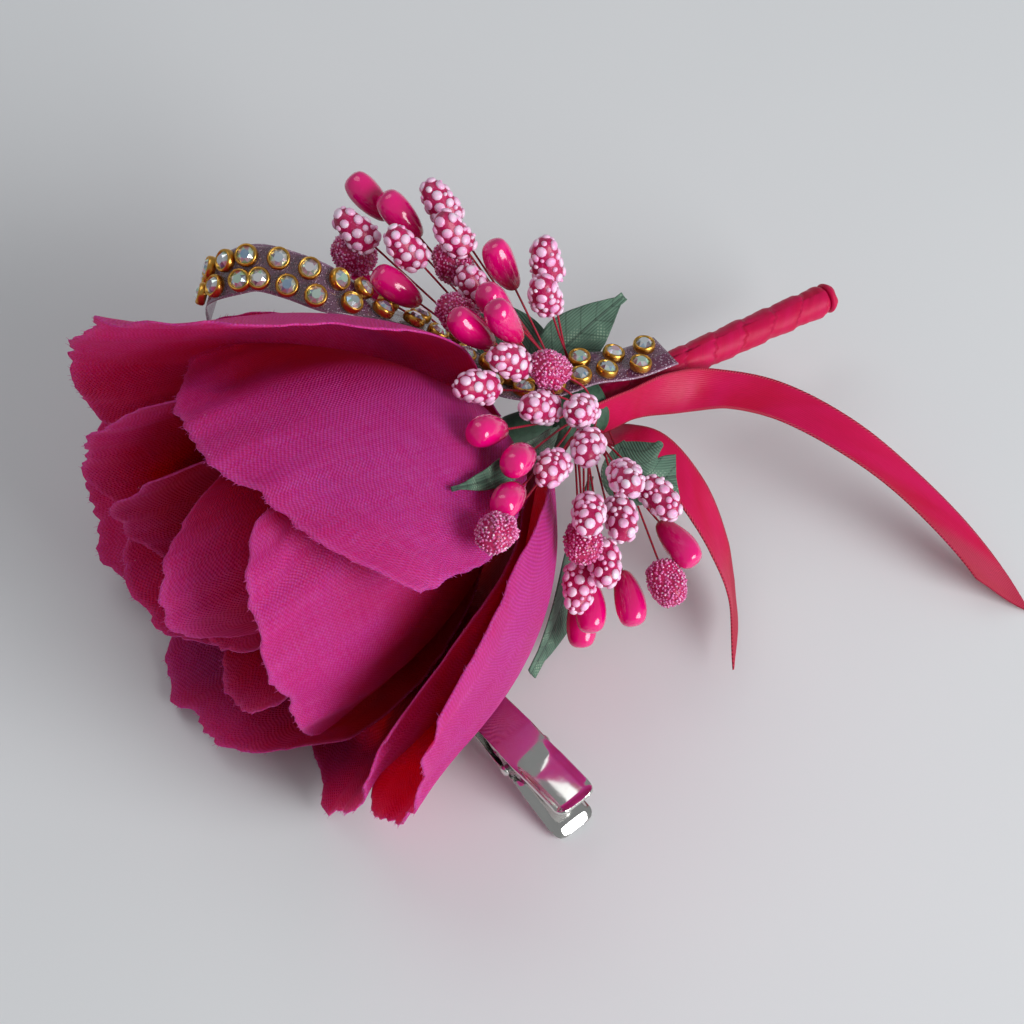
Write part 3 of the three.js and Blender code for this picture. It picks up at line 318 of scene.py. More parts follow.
# Clip, in its own frame: +X to the jaw tips, +Y along the pin
CLIP_WIDTH = 7.5
CLIP_TIP_WIDTH = 6
CLIP_PLATE = 0.5
CLIP_JAW_LENGTH = 28
CLIP_BITE_LENGTH = 6
CLIP_HANDLE_LENGTH = 13
CLIP_PIVOT_OFFSET = 2.35
UPPER_HANDLE_HEIGHT = 3.3
LOWER_HANDLE_DEPTH = 5.4
EAR_RADIUS = 1.55
EAR_HALF_LENGTH = 3
PIN_RADIUS = 0.65
SPRING_RADIUS = 1.25
SPRING_PITCH = 1
SPRING_TURNS = 3.5
SPRING_WIRE = 0.55
SPRING_LEG = 7
LEG_RISE = 0.25
LEG_DROP = 0.5
CLIP_TOP = CLIP_PIVOT.z + CLIP_PIVOT_OFFSET + CLIP_PLATE / 2 + GAP + PETAL_THICKNESS / 2
BED_REACH = 18
BED_START_SHARE = 0.45


def smooth(a, b, x):
    """Eased step from 0 at a to 1 at b."""
    k = min(1, max(0, (x - a) / (b - a)))
    return k * k * (3 - 2 * k)


def lerp(a, b, share):
    return a + (b - a) * share


def noise_at(x, y, z):
    """Smooth noise from about -1 to 1."""
    return noise.noise(Vector((x, y, z)))


def bernstein(values, s):
    """Cubic Bernstein blend of four values."""
    q = 1 - s
    return values[0] * q ** 3 + 3 * values[1] * q * q * s + 3 * values[2] * q * s * s + values[3] * s ** 3


def in_rose(local):
    """Place in the pieces' frame of a point of the rose frame."""
    return ROSE_BASE + ROSE_UP * local.x + ROSE_SIDE * local.y + ROSE_AXIS * local.z


def polar(radius, angle, height):
    return Vector((radius * math.cos(angle), radius * math.sin(angle), height))


def about_axis(around, radius, height):
    """Point of the rose frame, by degrees about its axis, radius and height."""
    return polar(radius, math.radians(around), height)


def in_clip(local):
    """Place in the pieces' frame of a point of the clip's frame."""
    return CLIP_PIVOT + Matrix.Rotation(CLIP_YAW, 3, "Z") @ local


def in_metres(place):
    """Place in the row frame, in metres, of a point of the pieces' frame."""
    return (place + PIECES_ORIGIN) * MM


def linear(red, green, blue):
    """Scene-linear colour of a colour given from 0 to 255 as a screen shows it."""
    shares = []
    for level in (red, green, blue):
        share = level / 255
        shares.append(share / 12.92 if share <= 0.04045 else ((share + 0.055) / 1.055) ** 2.4)
    return tuple(shares)


class Value:
    """An output socket of a material; sums of values add their Math nodes."""

    def __init__(self, look, socket):
        self.look = look
        self.socket = socket

    def of(self, name):
        """Another output of the same node."""
        return Value(self.look, self.socket.node.outputs[name])

    def math_node(operation, turned=False):
        """Method that adds a Math node of that operation."""
        def method(self, *others):
            inputs = (*others, self) if turned else (self, *others)
            return self.look.node("ShaderNodeMath", {"operation": operation}, dict(enumerate(inputs)))

        return method

    __add__ = __radd__ = math_node("ADD")
    __sub__ = math_node("SUBTRACT")
    __rsub__ = math_node("SUBTRACT", turned=True)
    __mul__ = __rmul__ = math_node("MULTIPLY")
    __pow__ = math_node("POWER")
    __abs__ = math_node("ABSOLUTE")
    sine = math_node("SINE")

    def wave(self):
        """Sine wave of the value, from 0 to 1."""
        return self.sine() * 0.5 + 0.5

    def spread(self, gain, middle=0.5):
        """The value, held between 0 and 1, with its distance from 0.5 times the gain."""
        return ((self - 0.5) * gain + middle).held()

    def held(self):
        """The value kept between 0 and 1."""
        return self.look.node("ShaderNodeClamp", {}, {0: self})

    def step(self, low, high):
        """Eased step from 0 at low to 1 at high."""
        settings = {"interpolation_type": "SMOOTHSTEP"}
        return self.look.node("ShaderNodeMapRange", settings, {0: self, 1: low, 2: high, 3: 0, 4: 1})


class Look:
    """A material in the making."""

    def __init__(self, name):
        self.material = bpy.data.materials.new(name)
        self.material.use_nodes = True
        self.tree = self.material.node_tree
        self.tree.nodes.clear()

    def node(self, kind, settings, inputs, output=0):
        """A node of that kind: settings are set first, then inputs get their values or links."""
        made = self.tree.nodes.new(kind)
        for key, setting in settings.items():
            if key == "stops":
                ramp = made.color_ramp
                while len(ramp.elements) < len(setting):
                    ramp.elements.new(1)
                for element, (place, colour) in zip(ramp.elements, setting):
                    element.position = place
                    element.color = (*colour, 1)
            else:
                setattr(made, key, setting)
        for key, content in inputs.items():
            socket = made.inputs[key]
            if isinstance(content, Value):
                self.tree.links.new(content.socket, socket)
            elif socket.type == "RGBA":
                socket.default_value = (*content, 1)
            else:
                socket.default_value = content
        return Value(self, made.outputs[output])

    def cloth_place(self):
        """Place on the flat cloth in millimetres, as two values: across and along."""
        uv = self.node("ShaderNodeUVMap", {"uv_map": "cloth"}, {})
        parts = self.node("ShaderNodeSeparateXYZ", {}, {0: uv})
        return parts, parts.of("Y")

    def cloth_vector(self, across, along):
        return self.node("ShaderNodeCombineXYZ", {}, {0: across, 1: along, 2: 0.0})

    def place(self):
        """Place on the object in millimetres, as one vector."""
        coordinates = self.node("ShaderNodeTexCoord", {}, {}, "Object")
        inputs = {0: coordinates, "Scale": 1 / MM}
        return self.node("ShaderNodeVectorMath", {"operation": "SCALE"}, inputs)

    def noise(self, vector, period, detail=2.0, distortion=0.0):
        """Cloudy noise from 0 to 1 whose clouds are about one period across, in millimetres."""
        inputs = {"Vector": vector, "Scale": 1 / period, "Detail": detail, "Distortion": distortion}
        return self.node("ShaderNodeTexNoise", {}, inputs)

    def mix(self, factor, first, second):
        """Colour between first and second."""
        return self.node("ShaderNodeMix", {"data_type": "RGBA"}, {0: factor, 6: first, 7: second}, 2)

    def bump(self, height, distance, strength=1.0, under=None):
        """Normal of a surface whose height is given from 0 to 1, for a full relief in millimetres."""
        inputs = {"Height": height, "Distance": distance * MM, "Strength": strength}
        if under:
            inputs["Normal"] = under
        return self.node("ShaderNodeBump", {}, inputs)

    def attribute(self, name):
        return self.node("ShaderNodeAttribute", {"attribute_name": name}, {}, "Fac")

    def surface(self, inputs):
        """The finished material, with those inputs of its one shader."""
        shader = self.node("ShaderNodeBsdfPrincipled", {}, inputs)
        end = self.tree.nodes.new("ShaderNodeOutputMaterial")
        self.tree.links.new(shader.socket, end.inputs["Surface"])
        return self.material


def plain_weave(across, along, pitch):
    """Height from 0 to 1 of a plain weave with that thread pitch in millimetres."""
    turn = TURN / (2 * pitch)
    return (across * turn).sine() * (along * turn).sine() * 0.5 + 0.5


def petal_cloth(look, colours, dull=0.0):
    """Woven magenta satin: crimson painted shade where other petals hide it and more on its inner side,
    dark painted shade between the threads, painted lilac sheen on slub threads and at the cut rim, worn
    pale in specks.
    """
    across, along = look.cloth_place()
    flat = look.cloth_vector(across, along)
    weave = plain_weave(across, along, 0.34)
    slubs = look.noise(look.cloth_vector(across * 5, along * 0.35), 2.2)
    weft_slubs = look.noise(look.cloth_vector(across * 0.35, along * 5), 2.2)
    clouds = look.noise(flat, 14, 3.0, 0.5)
    rim = look.attribute("rim")
    # Painted shade: how much the other petals hide each point, found by casting rays
    fold = look.attribute("fold")
    base = look.mix(clouds.spread(1.8), colours.petal, colours.petal_light)
    # Painted sheen: the slub threads, which are real, turned lilac as if they shine
    base = look.mix(((slubs + weft_slubs - 1.0) * 0.4 + 0.1).held(), base, colours.petal_sheen)
    # Painted shade: crimson in the low places of the weave, between the threads
    base = look.mix((1 - weave) * 0.6, base, colours.petal_deep)
    # Painted shade: crimson where other petals hide the cloth, and dull adds more of it on the inner side
    base = look.mix((fold + dull).held(), base, colours.petal_deep)
    # Painted highlight: lilac along the cut rim
    base = look.mix(rim.step(0.97, 1) * 0.15, base, colours.petal_sheen)
    worn = look.noise(look.place(), 24).step(0.5, 0.6)
    specks = look.noise(look.place(), 1.1, 1.0).step(0.8, 0.83)
    base = look.mix(specks * worn * 0.7, base, (0.8, 0.5, 0.62))
    relief = weave * 0.8 + slubs * 0.3 + weft_slubs * 0.3
    return {
        "Base Color": base,
        "Roughness": 0.46 + clouds * 0.12 + fold * 0.2,
        "Sheen Weight": 0.03,
        "Sheen Roughness": 0.3,
        "Sheen Tint": linear(240, 120, 225),
        "Specular IOR Level": 0.14,
        "Subsurface Weight": 0.5,
        "Subsurface Radius": (0.006, 0.0002, 0.0006),
        "Subsurface Scale": 1.0,
        "Normal": look.bump(relief, 0.14, 1.0, look.bump(clouds, 0.9, 0.4)),
    }


def petal_lining_painted_shade(look, colours):
    """The petals' inner side: the same cloth with more crimson painted shade."""
    return petal_cloth(look, colours, 0.22)


def petal_fray(look, colours):
    """Loose threads of the petals' cut edges."""
    tone = look.noise(look.place(), 2.5)
    return {
        # Painted sheen: some of the loose threads lilac as if they shine
        "Base Color": look.mix(tone, colours.petal, colours.petal_sheen),
        "Roughness": 0.6 + tone * 0.2,
    }


def satin_ribbon_weave(look, colours):
    """Satin ribbon: long smooth floats, with ribbed woven edges."""
    across, along = look.cloth_place()
    edge = look.attribute("rim").step(0.86, 0.92)
    ribs = (along * (TURN / 0.5)).wave()
    floats = look.noise(look.cloth_vector(across * 6, along * 0.5), 1.2)
    twill = (across * (TURN / 0.3) + along * 2.2).wave()
    clouds = look.noise(look.cloth_vector(across, along), 9, 2.0, 0.3)
    base = look.mix(clouds.spread(2.2), colours.satin, colours.satin_light)
    base = look.mix(floats * 0.35, base, colours.satin_deep)
    # Painted shade in the grooves between the edge ribs
    base = look.mix(edge * (1 - ribs) * 0.75, base, colours.satin_deep)
    # Painted highlight on the tops of the edge ribs
    base = look.mix(edge * ribs * 0.3, base, linear(240, 110, 120))
    relief = (1 - edge) * (floats * 0.35 + twill * 0.25) + edge * ribs
    return {
        "Base Color": base,
        "Roughness": 0.34 + floats * 0.14 + edge * 0.16,
        "Sheen Weight": 0.05,
        "Sheen Roughness": 0.3,
        "Sheen Tint": linear(250, 130, 200),
        "Specular IOR Level": 0.24,
        "Normal": look.bump(relief, 0.1, 0.7, look.bump(clouds, 0.4, 0.3)),
    }


def leaf_cloth(look, colours):
    """Dark green cloth with fine ribs along it, net-like where it is thin, and pressed veins."""
    across, along = look.cloth_place()
    ribs = (across * (TURN / 0.42)).wave()
    net = plain_weave(across, along, 0.36)
    side = abs(across)
    veins = ((along - side * 0.9) * (TURN / 3.4)).sine().step(0.9, 1)
    midrib = 1 - side.step(0.1, 0.3)
    clouds = look.noise(look.cloth_vector(across, along), 7, 3.0, 0.4)
    thin = clouds.step(0.52, 0.62)
    base = look.mix(clouds.spread(2, 0.4), colours.leaf, colours.leaf_light)
    # Painted highlight on the tops of the ribs, where the cloth is thick
    base = look.mix((ribs ** 2.0) * (1 - thin) * 0.35, base, colours.leaf_light)
    # Painted highlight on the crossings of the thin net
    base = look.mix(net.step(0.5, 0.8) * thin * 0.5, base, colours.leaf_pale)
    base = look.mix((veins * 0.3 + midrib * 0.5).held(), base, colours.leaf_deep)
    pressed = look.bump(veins + midrib, 0.2, 0.5)
    return {
        "Base Color": base,
        "Roughness": 0.55 + clouds * 0.15,
        "Sheen Weight": 0.15,
        "Normal": look.bump(ribs * (1 - thin) + net * thin, 0.08, 0.9, pressed),
    }


def floral_tape(look, colours):
    """Waxy crêpe paper tape, wound and stretched."""
    place = look.place()
    crepe = look.noise(place, 0.7, 4.0, 1.0)
    clouds = look.noise(place, 5, 2.0)
    base = look.mix(crepe, colours.tape_green, colours.leaf_deep)
    base = look.mix(clouds * 0.4, base, colours.leaf_light)
    return {
        "Base Color": base,
        "Roughness": 0.55 + clouds * 0.2,
        "Normal": look.bump(crepe, 0.15, 0.8),
    }


def gloss_lacquer(look, colours):
    """Thick lacquer on the drop-shaped heads: clear and wet at the tip, deep at the neck."""
    clouds = look.noise(look.place(), 2.6, 2.0, 0.5)
    along = look.attribute("along")
    base = look.mix(along.step(0.05, 0.75), colours.lacquer_deep, colours.lacquer)
    base = look.mix(((clouds - 0.55) * 0.6).held(), base, colours.lacquer_pale)
    return {
        "Base Color": base,
        "Roughness": 0.12 + clouds * 0.08,
        "Specular IOR Level": 0.5,
        "Coat Weight": 0.8,
        "Coat Roughness": 0.06,
        "Subsurface Weight": 0.06,
        "Subsurface Radius": (0.002, 0.0003, 0.0008),
        "Normal": look.bump(clouds, 0.22, 0.3),
    }


def foam_berry(look, colours):
    """Painted foam body of a berry, nearly crimson between its dots."""
    grain = look.noise(look.place(), 0.4, 3.0)
    clouds = look.noise(look.place(), 2.4)
    base = look.mix(clouds, colours.berry, colours.berry_deep)
    return {
        "Base Color": look.mix((grain.step(0.55, 0.75)) * 0.25, base, colours.berry_dot),
        "Roughness": 0.3 + grain * 0.25,
        "Coat Weight": 0.2,
        "Normal": look.bump(grain, 0.1, 0.6),
    }


def raised_dot(look, colours):
    """Pale raised dots of paint on the berries."""
    clouds = look.noise(look.place(), 1.6)
    grain = look.noise(look.place(), 0.3, 2.0)
    tone = clouds.spread(2.4)
    return {
        "Base Color": look.mix(tone, colours.berry_dot, colours.berry_dot_light),
        "Roughness": 0.32 + grain * 0.2,
        "Coat Weight": 0.25,
        "Subsurface Weight": 0.08,
        "Subsurface Radius": (0.001, 0.0004, 0.0006),
        "Normal": look.bump(grain, 0.05, 0.5),
    }


def sugar_grain(look, colours):
    """Small clear grains that stand on the sugared berries, with painted glints on a few of them."""
    tone_and_painted_glint = look.noise(look.place(), 0.45, 0.0)
    base = look.mix(tone_and_painted_glint.spread(3), colours.sugar, colours.sugar_light)
    return {
        # Painted glints: a few grains turned nearly white
        "Base Color": look.mix(tone_and_painted_glint.step(0.66, 0.7), base, (0.9, 0.72, 0.8)),
        "Roughness": 0.1 + tone_and_painted_glint * 0.25,
        "Specular IOR Level": 0.7,
        "Coat Weight": 0.6,
        "Subsurface Weight": 0.1,
        "Subsurface Radius": (0.001, 0.0003, 0.0005),
    }


def stamen_thread(look, colours):
    """Stiffened thread of the stamens, with its twist."""
    across, along = look.cloth_place()
    twist = (along * (TURN / 0.5) + across).wave()
    return {
        "Base Color": look.mix(twist, colours.thread, colours.petal_deep),
        "Roughness": 0.5 + twist * 0.2,
        "Normal": look.bump(twist, 0.05, 0.7),
    }


def gold_plate(look, colours):
    """Polished gold colour, duller in soft clouds."""
    clouds = look.noise(look.place(), 1.3, 3.0)
    return {
        "Base Color": look.mix(clouds, linear(238, 192, 96), linear(198, 138, 54)),
        "Metallic": 1.0,
        "Roughness": 0.2 + clouds * 0.18,
        "Normal": look.bump(clouds, 0.05, 0.4),
    }


def cut_stone(look, colours):
    """Clear faceted stone over foil, with painted reflections in rainbow colours that change from facet to
    facet.
    """
    facet = look.attribute("facet")
    # Painted reflections: a tone for each facet, from dark through rainbow colours to near white
    stops = {0: (120, 160, 158), 0.14: (236, 240, 244), 0.3: (150, 222, 176), 0.44: (250, 252, 255),
             0.58: (96, 152, 190), 0.7: (236, 244, 246), 0.84: (222, 150, 176), 1: (84, 96, 112)}
    ramp = {"stops": [(place, linear(*levels)) for place, levels in stops.items()]}
    painted_reflection = look.node("ShaderNodeValToRGB", ramp, {0: facet})
    clouds = look.noise(look.place(), 0.7)
    return {
        # Painted glints: soft clouds of near white
        "Base Color": look.mix(clouds * 0.3, painted_reflection, (0.95, 0.97, 0.98)),
        "Metallic": 0.6,
        "Roughness": 0.05 + clouds * 0.08,
        "Specular IOR Level": 1.0,
        "Coat Weight": 1.0,
        "Coat Roughness": 0.02,
    }


def clear_film(look, colours):
    """Clear tape of the band, tinted plum, with glitter caught in it."""
    across, along = look.cloth_place()
    flat = look.cloth_vector(across, along)
    streaks = look.noise(look.cloth_vector(across * 3, along * 0.4), 2.0)
    glitter = look.noise(flat, 0.32, 1.0).step(0.6, 0.68)
    edge = look.attribute("rim").step(0.9, 0.97)
    tint = look.mix(streaks, linear(84, 34, 66), linear(128, 72, 110))
    return {
        "Base Color": look.mix(glitter * 0.7 + edge * 0.25, tint, linear(226, 204, 226)),
        "Alpha": (0.62 + streaks * 0.2 + glitter * 0.35 + edge * 0.25).held(),
        "Roughness": 0.14 + streaks * 0.12,
        "Specular IOR Level": 0.6,
        "Coat Weight": 0.5,
        "Normal": look.bump(glitter, 0.05, 0.6),
    }


def nickel_plate(look, colours):
    """Polished nickel: faint wipe marks and duller clouds."""
    place = look.place()
    wipes = look.noise(place, 6, 3.0, 1.2)
    dull = look.noise(place, 1.6, 4.0).step(0.55, 0.75)
    return {
        "Base Color": look.mix(wipes, linear(226, 226, 222), linear(204, 203, 200)),
        "Metallic": 1.0,
        "Roughness": 0.06 + wipes * 0.06 + dull * 0.1,
        "Normal": look.bump(wipes, 0.05, 0.25),
    }


def pale_floor(look, colours):
    """Matt pale table under the corsage."""
    tone = look.noise(look.place(), 90, 2.0)
    return {
        "Base Color": look.mix(tone, colours.floor, linear(234, 236, 238)),
        "Roughness": 0.75,
        "Specular IOR Level": 0.2,
    }


# Colours as a screen shows them: label, what they colour, and red, green and blue from 0 to 255
COLOURS = {
    "petal": ("Petals", "Magenta of the petals", (204, 30, 128)),
    "petal_light": ("Petals, faded", "Lighter clouds on the petals", (212, 48, 152)),
    # Painted shade: crimson where other petals hide the cloth and between the threads; also the stamen
    # threads' twist
    "petal_deep": ("Petals, deep", "Crimson of the folds", (180, 0, 24)),
    # Painted sheen and highlight: lilac of the threads that shine and of the cut rims
    "petal_sheen": ("Petals, sheen", "Lilac of the threads that shine", (236, 118, 206)),
    "satin": ("Ribbon", "Deep pink of the satin ribbon", (198, 2, 60)),
    "satin_light": ("Ribbon, light", "Lighter streaks of the ribbon", (214, 14, 92)),
    # Painted shade in the grooves of the ribbon's edge ribs; also the darker floats
    "satin_deep": ("Ribbon, deep", "Grooves between the ribbon's threads", (136, 0, 38)),
    "leaf": ("Leaves", "Dark green of the leaves", (37, 69, 55)),
    # Also painted highlight on the leaves' rib tops; lighter clouds on the leaves and the tape
    "leaf_light": ("Leaves, light", "Lighter clouds on the leaves", (99, 138, 115)),
    # Painted highlight on the crossings of the thin net
    "leaf_pale": ("Leaves, pale", "Crossings of the thin net", (175, 200, 175)),
    "leaf_deep": ("Leaves, deep", "Dark veins of the leaves", (16, 39, 30)),
    "tape_green": ("Floral tape", "Green of the binding tape", (50, 92, 64)),
    "lacquer": ("Lacquer", "Bright pink of the glossy drops", (236, 2, 124)),
    "lacquer_deep": ("Lacquer, deep", "Neck of the glossy drops", (175, 0, 55)),
    "lacquer_pale": ("Lacquer, pale", "Milky clouds in the lacquer", (249, 94, 186)),
    "berry": ("Berries", "Magenta body of the berries", (205, 11, 99)),
    "berry_deep": ("Berries, deep", "Darker clouds of the berries", (163, 0, 69)),
    "berry_dot": ("Dots", "Pale pink dots on the berries", (249, 163, 216)),
    "berry_dot_light": ("Dots, light", "Lightest of the dots", (249, 232, 249)),
    "sugar": ("Sugar", "Pink of the clear grains", (214, 73, 145)),
    "sugar_light": ("Sugar, light", "Lighter of the clear grains", (249, 149, 212)),
    "thread": ("Thread", "Dark pink of the stamen threads", (140, 18, 64)),
    "floor": ("Floor", "Pale grey of the table", (228, 231, 234)),
}

# Sizes in metres and counts: label, what they are, value, least and most
LENGTHS = {
    "cloth_thickness": ("Petal thickness", "Thickness of the petal fabric", 0.00028, 0.0001, 0.0005),
    "cell": ("Cloth cell", "Size of the mesh cells of the petals", 0.0009, 0.0005, 0.003),
    "crinkle": ("Crinkle", "Height of the small creases in the petals", 0.0006, 0, 0.002),
    "fray_length": ("Fray length", "Longest loose thread at a cut edge", 0.0008, 0, 0.004),
    "fray_pitch": ("Fray pitch", "Distance between loose threads", 0.0011, 0.0003, 0.01),
    "ribbon_thickness": ("Ribbon thickness", "Thickness of the satin ribbon", 0.0003, 0.0001, 0.0005),
}
COUNTS = {
    "dots": ("Dots", "Most raised dots on each dotted berry", 70, 0, 200),
    "grains": ("Grains", "Clear grains on each sugared berry", 420, 0, 900),
    "stone_facets": ("Stone facets", "Facets round the table of each stone", 8, 4, 16),
}

class CorsageColours(bpy.types.PropertyGroup):
    """Colours of the corsage, scene-linear."""

    __annotations__ = {
        key: FloatVectorProperty(name=label, description=text, default=linear(*levels), min=0, max=1,
                                 subtype="COLOR")
        for key, (label, text, levels) in COLOURS.items()
    }


class CorsageSizes(bpy.types.PropertyGroup):
    """Sizes and counts that the looks add to the solids."""

    __annotations__ = {
        key: FloatProperty(name=label, description=text, default=value, min=least, max=most,
                           subtype="DISTANCE", unit="LENGTH")
        for key, (label, text, value, least, most) in LENGTHS.items()
    } | {
        key: IntProperty(name=label, description=text, default=value, min=least, max=most)
        for key, (label, text, value, least, most) in COUNTS.items()
    }


def sizes():
    return bpy.context.scene.corsage_sizes


def colours():
    return bpy.context.scene.corsage_colours


def material(maker):
    """The material named after maker, a function that gives the inputs of its shader; it's made once."""
    made = bpy.data.materials.get(maker.__name__)
    if made is None:
        look = Look(maker.__name__)
        made = look.surface(maker(look, colours()))
    return made


def finished(name, work, materials, slot, node=None, body="corsage", smooth_faces=True):
    """Object of the bmesh work, at the origin, with its finishes; it stands for node and rides on body."""
    mesh = bpy.data.meshes.new(name)
    work.to_mesh(mesh)
    work.free()
    mesh.polygons.foreach_set("use_smooth", [smooth_faces] * len(mesh.polygons))
    made = bpy.data.objects.new(name, mesh)
    bpy.context.scene.collection.objects.link(made)
    for material in materials:
        mesh.materials.append(material)
    if body:
        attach(made, body)
    if node:
        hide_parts(node)
    return made


def cloth_grid(at, cells, width, length, depth=lambda u, v: 0):
    """Bmesh of a sheet over at(u, v), with its flat cloth in millimetres, its rim, and, kept as fold, its
    painted shade where other sheets hide it.
    """
    work = bmesh.new()
    bmesh.ops.create_grid(work, x_segments=cells[0], y_segments=cells[1], size=1)
    uv = work.loops.layers.uv.new("cloth")
    rim = work.verts.layers.float.new("rim")
    fold = work.verts.layers.float.new("fold")
    flat = {}
    for vert in work.verts:
        u, v = vert.co.x, (vert.co.y + 1) / 2
        flat[vert] = (u * width(v) / 2, v * length)
        vert[rim] = max(abs(u), v)
        vert[fold] = depth(u, v)
        vert.co = in_metres(at(u, v))
    for face in work.faces:
        for loop in face.loops:
            loop[uv].uv = flat[loop.vert]
    return work


def thicken(made, thickness, lining=0):
    """Solidify as a finishing modifier; the far side takes the material that many slots on."""
    wall = made.modifiers.new("thickness", "SOLIDIFY")
    wall.thickness = thickness
    wall.offset = 0
    wall.material_offset = lining
    wall.use_even_offset = False


def bed_height(place):
    """Height of what a petal rests on: the table, or the clip's upper jaw where that lies under it."""
    local = Matrix.Rotation(-CLIP_YAW, 3, "Z") @ (place - CLIP_PIVOT)
    beside = 1 - smooth(BED_START_SHARE, 1, abs(local.y) / BED_REACH)
    behind = 1 - smooth(BED_START_SHARE, 1, -(local.x + CLIP_HANDLE_LENGTH) / BED_REACH)
    ahead = 1 - smooth(BED_START_SHARE, 1, (local.x - CLIP_JAW_LENGTH) / BED_REACH)
    table = PETAL_THICKNESS / 2
    return table + (CLIP_TOP - table) * beside * behind * ahead


def petal_profile(petal):
    """Radius, height and lean along the middle of a petal, from its foot to its rim."""
    radius = HUB_RADIUS + GAP + PETAL_THICKNESS / 2
    height = petal["foot"] * HUB_HEIGHT
    step = petal["length"] * PETAL_LENGTH / PROFILE_STEPS
    rows = [(radius, height, math.radians(bernstein(petal["flare"], 0)))]
    for k in range(PROFILE_STEPS):
        share = (k + 0.5) / PROFILE_STEPS
        lean = math.radians(bernstein(petal["flare"], share) + petal["lip"] * smooth(0.8, 1, share))
        radius += math.sin(lean) * step
        height += math.cos(lean) * step
        rows.append((radius, height, lean))
    return rows


def petal_width(petal, share):
    """Half width of a petal at a share of its length."""
    opening = math.sin(math.pi / 2 * min(1, share / 0.62)) ** 1.3
    width_share = lerp(PETAL_FOOT_SHARE, 1, opening) * (1 - 0.18 * smooth(0.62, 1, share))
    return petal["width"] * PETAL_HALF_WIDTH * width_share


def petal_area(petal):
    """Area in square metres that a petal has when it's cut from flat cloth."""
    area = 0
    for k in range(AREA_ROWS):
        share = (k + 0.5) / AREA_ROWS
        cut_away = petal["cut"] * (1 - smooth(0.55, 0.95, share)) / 2
        area += 2 * petal_width(petal, share) * (1 - cut_away) * petal["length"] * PETAL_LENGTH / AREA_ROWS
    return area * (1 - petal["trim"] / 3.6) * MM * MM


def crinkle(petal, u, share, seed):
    """Soft folds and sharper creases that run up a petal, and its ruffled rim, in crinkle heights."""
    fan = noise_at(u * 2.3 + seed, share * 0.8, seed * 0.7)
    crease = abs(noise_at(u * 3.4 - seed, share * 0.9 + u * 0.5, seed * 0.3))
    cross = noise_at(u * 1.5 - seed, share * 3.4, seed)
    ruffle = noise_at(u * 5.2 + seed * 2, share * 1.5, 4.2)
    free = smooth(0.25, 0.85, share) * (1 if petal["layer"] < 3 else 0.8)
    rim = smooth(0.78, 1, max(share, abs(u) * smooth(0.3, 0.6, share)))
    return (fan * 1.6 + cross * 1.1 - crease * 1.8 + 0.3) * free + ruffle * 2.2 * rim * free


def petal_surface(petal, seed):
    """Function of the petal's middle surface, u from side to side and v from foot to rim."""
    rows = petal_profile(petal)
    around = math.radians(petal["around"])
    height_of_crinkle = sizes().crinkle / MM

    def at(u, v):
        nick = 0.5 + noise_at(u * 3.2 + seed, seed, 0) + 0.4 * noise_at(u * 17, seed, 1)
        share = v * (1 - petal["trim"] * abs(u) ** 2.6 - petal["slant"] * u * 0.5 - 0.035 * max(0, nick))
        share = min(1, max(0, share))
        k = share * PROFILE_STEPS
        i = min(int(k), PROFILE_STEPS - 1)
        radius, height, lean = (lerp(a, b, k - i) for a, b in zip(rows[i], rows[i + 1]))
        edge = noise_at(v * 5 + seed, u * 0.2, 2) + 0.4 * noise_at(v * 19, seed, u * 0.3)
        half_width = petal_width(petal, share) * (1 - 0.06 * max(0, edge + 0.3) * smooth(0.3, 0.6, v))
        half_width *= 1 - petal["cut"] * max(0, u) * (1 - smooth(0.55, 0.95, share))
        bend = max(petal["bend"] * (radius + PETAL_SLACK), PETAL_TIGHTEST_BEND)
        turn = u * half_width / bend
        push = petal["roll"] * PETAL_ROLL * max(0, (abs(u) - 0.55) / 0.45) ** 2 * smooth(0.15, 0.8, share)
        push -= petal["tuck"] * PETAL_TUCK * u * smooth(0, 0.24, share)
        ripple = math.sin(petal["waves"] * u + petal["phase"])
        push += petal["wave"] * PETAL_WAVE * ripple * smooth(0.3, 1, share)
        push += height_of_crinkle * crinkle(petal, u, share, seed)
        outward = radius - bend * (1 - math.cos(turn)) + push * math.cos(lean) * math.cos(turn)
        sideways = (bend + push * math.cos(lean)) * math.sin(turn)
        place = in_rose(Vector((
            outward * math.cos(around) - sideways * math.sin(around),
            outward * math.sin(around) + sideways * math.cos(around),
            height - push * math.sin(lean),
        )))
        bed = bed_height(place) + LAYER_SPACING * (petal["layer"] + smooth(-0.3, 0.3, u))
        over = (place.z - bed) / LIFT_SOFTNESS
        lift = over if over > 30 else math.log1p(math.exp(over))
        place.z = bed + LIFT_SOFTNESS * lift
        return place

    return at


